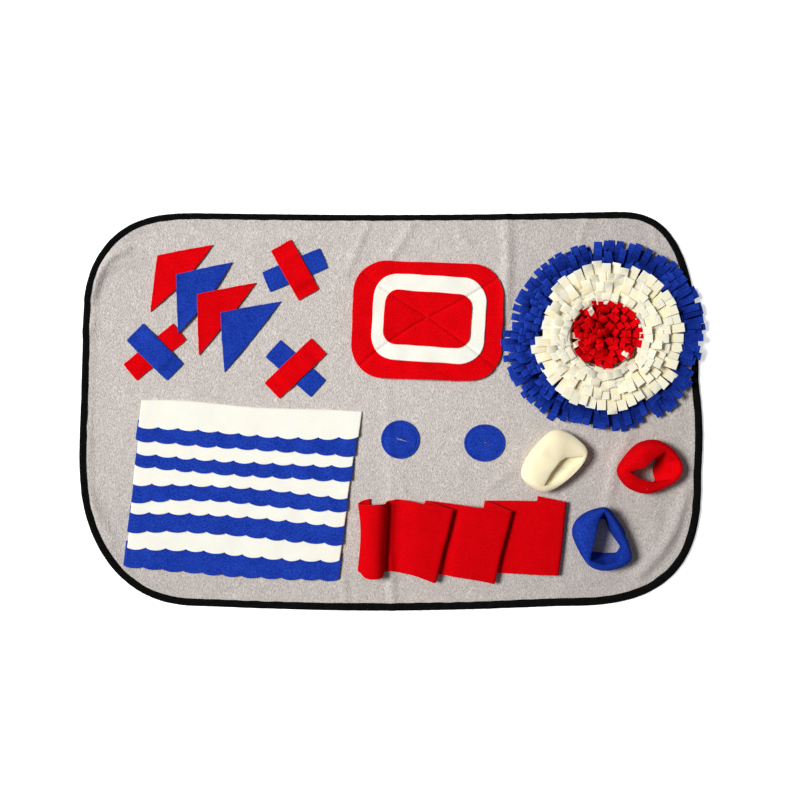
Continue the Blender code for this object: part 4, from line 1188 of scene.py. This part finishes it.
# Cups of doubled fleece: the outer layer bellies out, the inner one slopes to the throat
cups = {
    "wall": 5.5 * mm,
    "bellyUp": 13 * mm,
    "bellyRise": 9 * mm,
    "lipDrop": 2.4 * mm,    # the mouth lies this much under the rim
    "sides": 120,
    "steps": (5, 6, 7, 6, 6, 4, 5, 7, 5, 4),     # between one station and the next
    # Each cup's shade share lays painted shade over the whole cup
    "pieces": {     # spots are degrees, x and y from the middle, in mm
        "cream": {
            "middle": (0.2597, -0.0800), "foot": (-11, 9, 40, 25.5, 48),
            "rim": 27, "dome": 5, "domeTurn": 150, "throatUp": 15, "paintedShadeShare": 0.6,
            "widest": ((12, 54.6, 11.5), (45, 36, 38), (84, 6, 51), (115, -18, 38), (172, -47, 0),
                       (212, -50, -29), (255, -14, -50), (318, 28, -25)),
            "mouth": ((12, 49, 7), (60, 20, 5.5), (100, 10.5, -0.5), (185, -4, -19),
                      (225, -15, -40), (262, -2, -37), (300, 12, -27), (335, 35, -4)),
            "throat": ((12, 26, 13), (60, 20, 16), (100, 6, 12), (185, -14, -10), (225, -17, -31),
                       (262, -12, -20), (300, -4, -8), (335, 8, 4)),
            "dents": ((-6, 14, 9, 1.1), (-27, -3, 12, 0.9))},
        "red": {
            "middle": (0.4144, -0.0888), "foot": (-13, 1, 31, 32, 0),
            "rim": 33, "dome": 9, "domeTurn": 155, "throatUp": 2.5, "paintedShadeShare": 0.2,
            "widest": ((2, 53, 1), (34, 39, 26), (75, 12, 43), (118, -20, 37.5), (168, -47, 9),
                       (192, -53, -11), (225, -36, -34), (262, -5, -44), (305, 24, -34.5),
                       (335, 47, -19)),
            "mouth": ((10, 46, 8.5), (50, 25.5, 24), (100, 7.4, 12.4), (150, -7.5, -1.8),
                      (190, -31.8, -8.4), (233, -14, -20.8), (285, 11, -26), (323, 36, -21.5),
                      (350, 47, -7)),
            "throat": ((10, 4.5, -1), (50, 11, 8), (100, 4, 20), (150, -14, 12), (190, -31, -3),
                       (233, -16, -25), (285, 4, -28), (323, 8, -21), (350, 5.2, -11)),
            "dents": ((-20, 20, 10, 0.8),)},
        "blue": {
            "middle": (0.3366, -0.2056), "foot": (1.5, 3, 37.5, 33.5, 0),
            "rim": 35, "dome": 8, "domeTurn": 165, "throatUp": 2.5, "paintedShadeShare": 0.2,
            "widest": ((15, 36.5, 10.5), (50, 26, 31), (82, 7.5, 51), (120, -24, 44),
                       (148, -43, 28), (172, -47, 6), (215, -32, -27), (250, -15, -46),
                       (282, 12, -51), (318, 40, -41), (332, 49, -26)),
            "mouth": ((30, 21.5, 16), (80, 4.5, 43.4), (105, -3.2, 31.6), (150, -9.5, 5),
                      (200, -15.2, -18.5), (240, -18, -35), (282, 6, -41), (312, 26.3, -35),
                      (345, 34.5, -12)),
            "throat": ((30, 12.5, 13), (80, 5.5, 33), (105, -8, 31), (150, -24, 12),
                       (200, -27, -10), (240, -15, -20), (282, 6, -22.3), (312, 24, -21.5),
                       (345, 30, -11.5)),
            "dents": ((-28, 12, 9, 0.9),)},
    },
}


def spotRing(marks, turns, easings=None):
    # A closed outline of (degrees, x, y) marks, read at these turns: rounded, or with
    # straight runs whose corners are eased this many times
    degrees = np.array([mark[0] for mark in marks], float)
    places = np.array([mark[1:] for mark in marks], float) * mm
    count = len(marks)
    ring = []
    for turn in np.degrees(turns) % 360:
        turn += 360 * (turn < degrees[0])
        index = int(np.searchsorted(degrees, turn, side="right")) - 1
        four = [places[(index + step) % count] for step in (-1, 0, 1, 2)]
        following = degrees[index + 1] if index + 1 < count else degrees[0] + 360
        t = (turn - degrees[index]) / (following - degrees[index])
        ring.append(roundedStep(*four, t) if easings is None
                    else four[1] + (four[2] - four[1]) * t)
    ring = np.array(ring)
    for _ in range(easings or 0):
        ring = (np.roll(ring, 1, axis=0) + 2 * ring + np.roll(ring, -1, axis=0)) / 4
    return ring


def buildCup(finish, cup):
    sides, name = cups["sides"], "cup" + finish.title()
    turns = np.linspace(0, 2 * math.pi, sides, endpoint=False)
    widest, mouth = spotRing(cup["widest"], turns), spotRing(cup["mouth"], turns, 2)
    throat = spotRing(cup["throat"], turns, 4)
    offX, offY, long, short, degrees = cup["foot"]
    tilt = math.radians(degrees)

    def foot(inward):
        oval = circle(turns - tilt) * (long * mm - inward, short * mm - inward)
        return (offX * mm, offY * mm) + turned(oval, tilt)

    def between(a, b, share):
        return a + (b - a) * share

    facing = np.cos(turns - math.radians(cup["domeTurn"]))
    rim = (cup["rim"] + cup["dome"] * facing) * mm
    belly = cups["bellyUp"] + cups["bellyRise"] * (1 - facing) / 2
    throatUp, lipUp = cup["throatUp"] * mm, rim - cups["lipDrop"]
    stations = (    # each ring and its height, from the outer foot over the rim to the inner
        (foot(0.0), 0.0), (between(foot(0.0), widest, 0.60), belly * 0.45), (widest, belly),
        (between(widest, mouth, 0.24), between(belly, rim, 0.78)),
        (between(widest, mouth, 0.52), rim), (between(widest, mouth, 0.92), lipUp + 1.5 * mm),
        (mouth, lipUp), (between(mouth, throat, 0.12), lipUp - 4.2 * mm),
        (between(mouth, throat, 0.60), between(lipUp, throatUp, 0.66)), (throat, throatUp),
        (foot(cups["wall"]) if throatUp > 5 * mm else throat, 0.0),
    )
    rings = [np.column_stack([ring, np.broadcast_to(up, sides)]) for ring, up in stations]
    section = np.array([centripetal([ring[side] for ring in rings], cups["steps"])
                        for side in range(sides)])      # side, station, axis
    rows = section.shape[1]
    x, y, z = section.reshape(-1, 3).T
    for dentX, dentY, spread, depth in cup["dents"]:
        away = np.hypot(x - dentX * mm, y - dentY * mm)
        z -= depth * mm * mound(away, spread * mm) * (z > 18 * mm)
    x, y = x + cup["middle"][0], y + cup["middle"][1]
    z += 0.5 * mm * softNoise(x, y, 22 * mm, 140) * np.clip(z / (20 * mm), 0, 1)
    points = asSeen(asPoints(x, y, z + pieceFloor + groundLift(x, y)))
    legs = np.linalg.norm(np.diff(section, axis=1), axis=2).mean(axis=0)
    uv = gridPlaces(np.linspace(0, 0.28, sides), [0, *np.cumsum(legs)])
    # The root attribute lays painted shade over the whole cup, warm yellow on the cream one
    plain = np.zeros(len(points))
    mesh = makeMesh(name, points, gridFaces(sides, rows, True, True, flip=True), uv, plain,
                    plain + cup["paintedShadeShare"])
    piece = addPiece(name, mesh, finish, "cup_" + finish)
    area = sum(face.area for face in mesh.polygons) / 2
    girth = float(lengths(widest)[-1])
    print(name, "flat", round(girth, 3), "by", round(area / girth, 3))


for finish, cup in cups["pieces"].items():
    buildCup(finish, cup)


# Rosette: rings of backing with rows of square-cut fringe
rosette = {
    "middle": (0.341, 0.122),
    "stretch": (1.035, 0.965),
    "strandThickness": 2.0 * mm,
    "rootUp": 1.1 * mm,
    "clear": 0.4 * mm,  # between a strip and the ground
    "partingWide": 16,  # degrees to each side
    "steepest": 86,     # degrees of a strip at its root
    "leastLean": 0.38,  # every strip's tip leans this share of its length outwards
    "stations": (0.0, 0.1, 0.2, 0.3, 0.4, 0.53, 0.72, 0.975, 1.0),
    "profile": ((-1, 0), (-0.93, -1), (0.93, -1), (1, 0), (0.93, 1), (-0.93, 1)),
    "rings": {
        "blue": {
            "backing": (94.5, 126.5), "stray": 5, "twist": 9, "width": 11.4, "droop": (-4, 6),
            "paintedRootShade": (0.0, 0.9), "gather": 2.0, "ruffle": 0.7, "settle": 0.6,
            "tips": ((0, 165), (18, 165), (28, 168), (38, 167), (47, 165), (56, 160), (65, 158),
                     (75, 154), (100, 153), (113, 150), (134, 153), (145, 151), (155, 156),
                     (163, 153), (171, 150), (177, 161), (186, 167), (197, 168), (209, 165),
                     (226, 161), (238, 163), (248, 148), (262, 150), (271, 153), (285, 160),
                     (297, 147), (304, 161), (322, 161), (333, 163), (341, 152), (352, 158)),
            "partings": ((298.5, 9), (163, 4)),
            # root radius, strips, share of the way in to the next ring's outline, length
            "rows": ((124, 66, 0.02, 40), (118, 66, 0.22, 38), (111, 62, 0.44, 36),
                     (104, 58, 0.66, 34), (98, 50, 0.88, 31)), "turnedIn": ()},
        "cream": {
            "backing": (50.0, 94.2), "stray": 2.2, "twist": 4, "width": 15.2, "droop": (5, 3),
            "paintedRootShade": (0.16, 0.8), "gather": 0.8, "ruffle": 1.6, "settle": 0.42,
            "tips": ((0, 125), (17, 131), (32, 125), (49, 127), (74, 119), (93, 120), (109, 114),
                     (134, 117), (150, 104), (165, 99), (180, 101), (192, 118), (208, 116),
                     (233, 117), (256, 121), (274, 124), (301, 124), (329, 134), (342, 125)),
            "partings": ((37.5, 3), (297.5, 4), (345, 3)),
            "rows": ((84, 48, 0.01, 47), (73, 42, 0.28, 44), (63, 37, 0.52, 42),
                     (55, 32, 0.74, 38), (52, 28, 0.92, 32)),
            "turnedIn": ((116, 44), (179, 35), (200, 38), (318, 44))},
        "red": {
            "backing": (0.0, 49.7), "stray": 17, "twist": 15, "width": 11.6, "droop": (-6, 14),
            "paintedRootShade": (0.0, 0.6), "gather": 2.2, "ruffle": 2.4, "settle": 1.0,
            "tips": ((5, 60), (27, 60), (39, 65), (53, 66), (60, 60), (66, 57), (88, 52),
                     (102, 54), (126, 59), (137, 52), (154, 54), (167, 47), (177, 36), (190, 35),
                     (202, 37), (219, 51), (231, 44), (257, 48), (272, 54), (293, 42), (318, 48),
                     (336, 49), (343, 61)),
            "partings": (),
            "rows": ((45, 27, 0.03, 30), (37, 23, 0.20, 28), (29, 19, 0.36, 28),
                     (21, 15, 0.52, 28), (13, 11, 0.68, 28), (5, 6, 0.83, 28)), "turnedIn": ()},
    },
}


def bendOver(outward, tipAngle, settle):
    # The root's angle, and the share that stays upright, for a strip to reach this far
    steepest = math.radians(rosette["steepest"])
    angles = np.linspace(tipAngle + math.radians(4), steepest, 40)
    bent = (np.sin(angles) - math.sin(tipAngle)) / (angles - tipAngle)
    reaches = settle * bent + (1 - settle) * math.cos(tipAngle)
    if outward < reaches[-1]:
        hold = (reaches[-1] - outward) / (reaches[-1] - math.cos(steepest))
        return steepest, min(hold, 0.75)
    return float(np.interp(-outward, -reaches, angles)), 0.0


def strandShape(root, heading, bend, tipAngle, settle, length, twist, width):
    # Rings of six points along one strip, from its root to its square tip
    rootAngle, hold = bend
    spot = np.array(root, float)
    across = np.array((-math.sin(heading), math.cos(heading), 0))
    rings, last = [], 0.0
    for share in rosette["stations"]:
        over = min(1.0, max(0.0, ((share + last) / 2 - hold) / (1 - hold) / settle))
        angle = rootAngle + (tipAngle - rootAngle) * over
        way = np.array((math.cos(heading) * math.cos(angle),
                        math.sin(heading) * math.cos(angle), math.sin(angle)))
        spot = spot + way * length * (share - last)
        normal = np.cross(way, across)
        roll = twist * share
        side = across * math.cos(roll) + normal * math.sin(roll)
        face = normal * math.cos(roll) - across * math.sin(roll)
        narrow, thin = (0.97, 0.7) if share == 1 else (1.0, 1.0)    # the cut tip is rounded
        half = width / 2 * min(1.0, 0.82 + 0.6 * share) * narrow
        rings.append([spot + side * half * u + face * rosette["strandThickness"] / 2 * v * thin
                      for u, v in rosette["profile"]])
        last = share
    return np.array(rings)


def buildFringe(name, finish, ring, within, dice):
    # Within is the tips' outline of the next ring, which covers this ring's middle
    middle, settle = np.array(rosette["middle"]), ring["settle"]
    turnsAt, tipsAt = zip(*ring["tips"])
    innerAt, innerTips = zip(*within)
    stations, sides = len(rosette["stations"]), len(rosette["profile"])
    share = np.repeat(rosette["stations"], sides)
    points, faces, uv = [], [], []

    def footAt(reach, turn):
        return middle + reach * mm * circle(turn) * rosette["stretch"]

    def addStrip(foot, heading, outward, tipAngle, size, twist, slim=1.0):
        width = ring["width"] * slim * mm * dice.uniform(0.9, 1.1)
        lift = float(groundLift(*foot))
        root = (*foot, pieceFloor + rosette["rootUp"] + lift * 0.6)
        bend = bendOver(max(outward, rosette["leastLean"]), tipAngle, settle)
        shape = strandShape(root, heading, bend, tipAngle, settle, size, twist, width)
        below = groundTop + rosette["clear"] + lift - shape[2:, :, 2].min()
        if below > 0:
            shape[..., 2] += below * np.linspace(0, 1, stations)[:, None] ** 0.6
        base = len(points) * stations * sides
        tip = base + (stations - 1) * sides
        faces.extend(gridFaces(stations, sides, around=True, start=base))
        faces.append(tuple(base + side for side in range(sides - 1, -1, -1)))
        faces.append(tuple(tip + side for side in range(sides)))
        points.append(asSeen(shape.reshape(-1, 3)))
        offset = dice.uniform(0, 1), dice.uniform(0, 1)
        uv.append(np.column_stack([offset[0] + size * share,
                                   offset[1] + width * np.tile(range(sides), stations) / sides]))

    for radius, count, inward, length in ring["rows"]:
        ruffled = 1 + ring["ruffle"] * inward ** 1.5
        start = dice.uniform(0, 2 * math.pi)
        bunch, bunchLeft, bunchSize = 0.0, 0, 1
        for number in range(count):
            if bunchLeft == 0:
                bunch = dice.uniform(-1, 1)
                bunchLeft = bunchSize = dice.choice((2, 3, 3, 4))
            gather = (bunchLeft - (bunchSize + 1) / 2) * ring["gather"]
            bunchLeft -= 1
            turn = start + 2 * math.pi * (number + dice.uniform(-0.12, 0.12)) / count
            degrees = math.degrees(turn) % 360
            outline = np.interp(degrees, turnsAt, tipsAt, period=360)
            reach = radius * outline / np.mean(tipsAt) + dice.uniform(-2.4, 2.4)
            foot = footAt(min(max(reach, ring["backing"][0] + 1), ring["backing"][1] - 1), turn)
            heading = turn + math.radians(gather + ring["gather"] * bunch
                                          + ruffled * dice.gauss(0, ring["stray"]))
            for parting, spread in ring["partings"]:
                apart = (degrees - parting + 180) % 360 - 180
                heading += math.radians(math.copysign(spread, apart)
                                        * max(0.0, 1 - abs(apart) / rosette["partingWide"]))
            innermost = np.interp(degrees, innerAt, innerTips, period=360)
            tip = outline + (innermost - outline) * inward + dice.gauss(0, 2.0) * ruffled
            size = length * mm * dice.uniform(0.96, 1.05)
            outward = (tip * mm - np.hypot(*(foot - middle))) / size + dice.gauss(0, 0.02)
            addStrip(foot, heading, outward,
                     math.radians(dice.gauss(*ring["droop"]) + 4 * bunch * ruffled), size,
                     math.radians(ruffled * dice.gauss(0, ring["twist"]) + 5 * bunch))
    for degrees, tip in ring["turnedIn"]:   # a few strips that fell over the next ring
        turn = math.radians(degrees)
        root, size = ring["backing"][0] + 3, 37 * mm
        addStrip(footAt(root, turn), turn + math.pi + dice.uniform(-0.2, 0.2),
                 (root - tip) * mm / size, math.radians(-30), size, 0.3, 0.62)
    strands = len(points)
    # Painted shade: each strip darkens towards its root, where the rows above shade it; on the
    # cream the warm painted shade stands in for light thrown between its strips, and reaches its
    # tips a little
    tint, deepest = ring["paintedRootShade"]
    deep = tint + (deepest - tint) * np.minimum(1.0, 1.6 - 1.6 * share)
    mesh = makeMesh(name, np.concatenate(points), faces, np.concatenate(uv),
                    np.tile((share == 1) * 0.5, strands), np.tile(deep, strands))
    mesh.set_sharp_from_angle(angle=math.radians(48))
    return addPiece(name, mesh, finish), strands


def buildBacking(name, node, finish, inner, outer):
    count = 96
    turns = np.linspace(0, 2 * math.pi, count, endpoint=False)
    radii = steps((outer - inner) * mm, 4 * mm)[:, None] + inner * mm
    radii = radii if inner else radii[2:]
    x, y = np.moveaxis(radii[..., None] * circle(turns) * rosette["stretch"]
                       + rosette["middle"], -1, 0)
    points = asPoints(x, y, resting(x, y))
    inside = radii - inner * mm if inner else outer * mm
    rims = np.repeat(np.minimum(inside, outer * mm - radii), count)
    faces = gridFaces(len(radii), count, around=True, flip=True)
    if inner == 0:      # a closed middle
        faces += [(len(points), side, (side + 1) % count) for side in range(count)]
        points = np.concatenate([points, [points[:count].mean(axis=0)]])
        rims = np.append(rims, outer * mm)
    return makeSheet(name, points, faces, points[:, :2] + 5, rims, finish, node)


dice = random.Random(19)
rings = rosette["rings"]
withins = [ring["tips"] for ring in rings.values()][1:] + [((0, 0), (180, 0))]
for (finish, ring), within in zip(rings.items(), withins):
    name = "rosette" + finish.title()
    inner, outer = ring["backing"]
    backing = buildBacking(name + "Backing", "rosette_" + finish, finish, inner, outer)
    fringe, strands = buildFringe(name + "Fringe", finish, ring, within, dice)
    wide, high = (2 * outer * mm * stretch for stretch in rosette["stretch"])
    area = math.pi * (outer ** 2 - inner ** 2) * mm * mm * math.prod(rosette["stretch"])
    max(area, leastArea * wide * high)
    print(name, "strips:", strands)


# Small thread tacks that hold the doubled cups together: x, y, height in mm, degrees
tacks = ((0.3150, -0.1980, 41.5, 80), (0.4015, -0.1220, 37.5, 70))


def sewTacks():
    paths = []
    for x, y, up, degrees in tacks:
        turn = math.radians(degrees)
        way = np.array((math.cos(turn), math.sin(turn), 0)) * 1.8 * mm
        middle = np.array((x, y, up * mm))
        paths.append([middle - way, middle + way])
    sewSeam("cupTacks", paths, "whiteThread")


sewTacks()
print("tacks:", len(tacks))
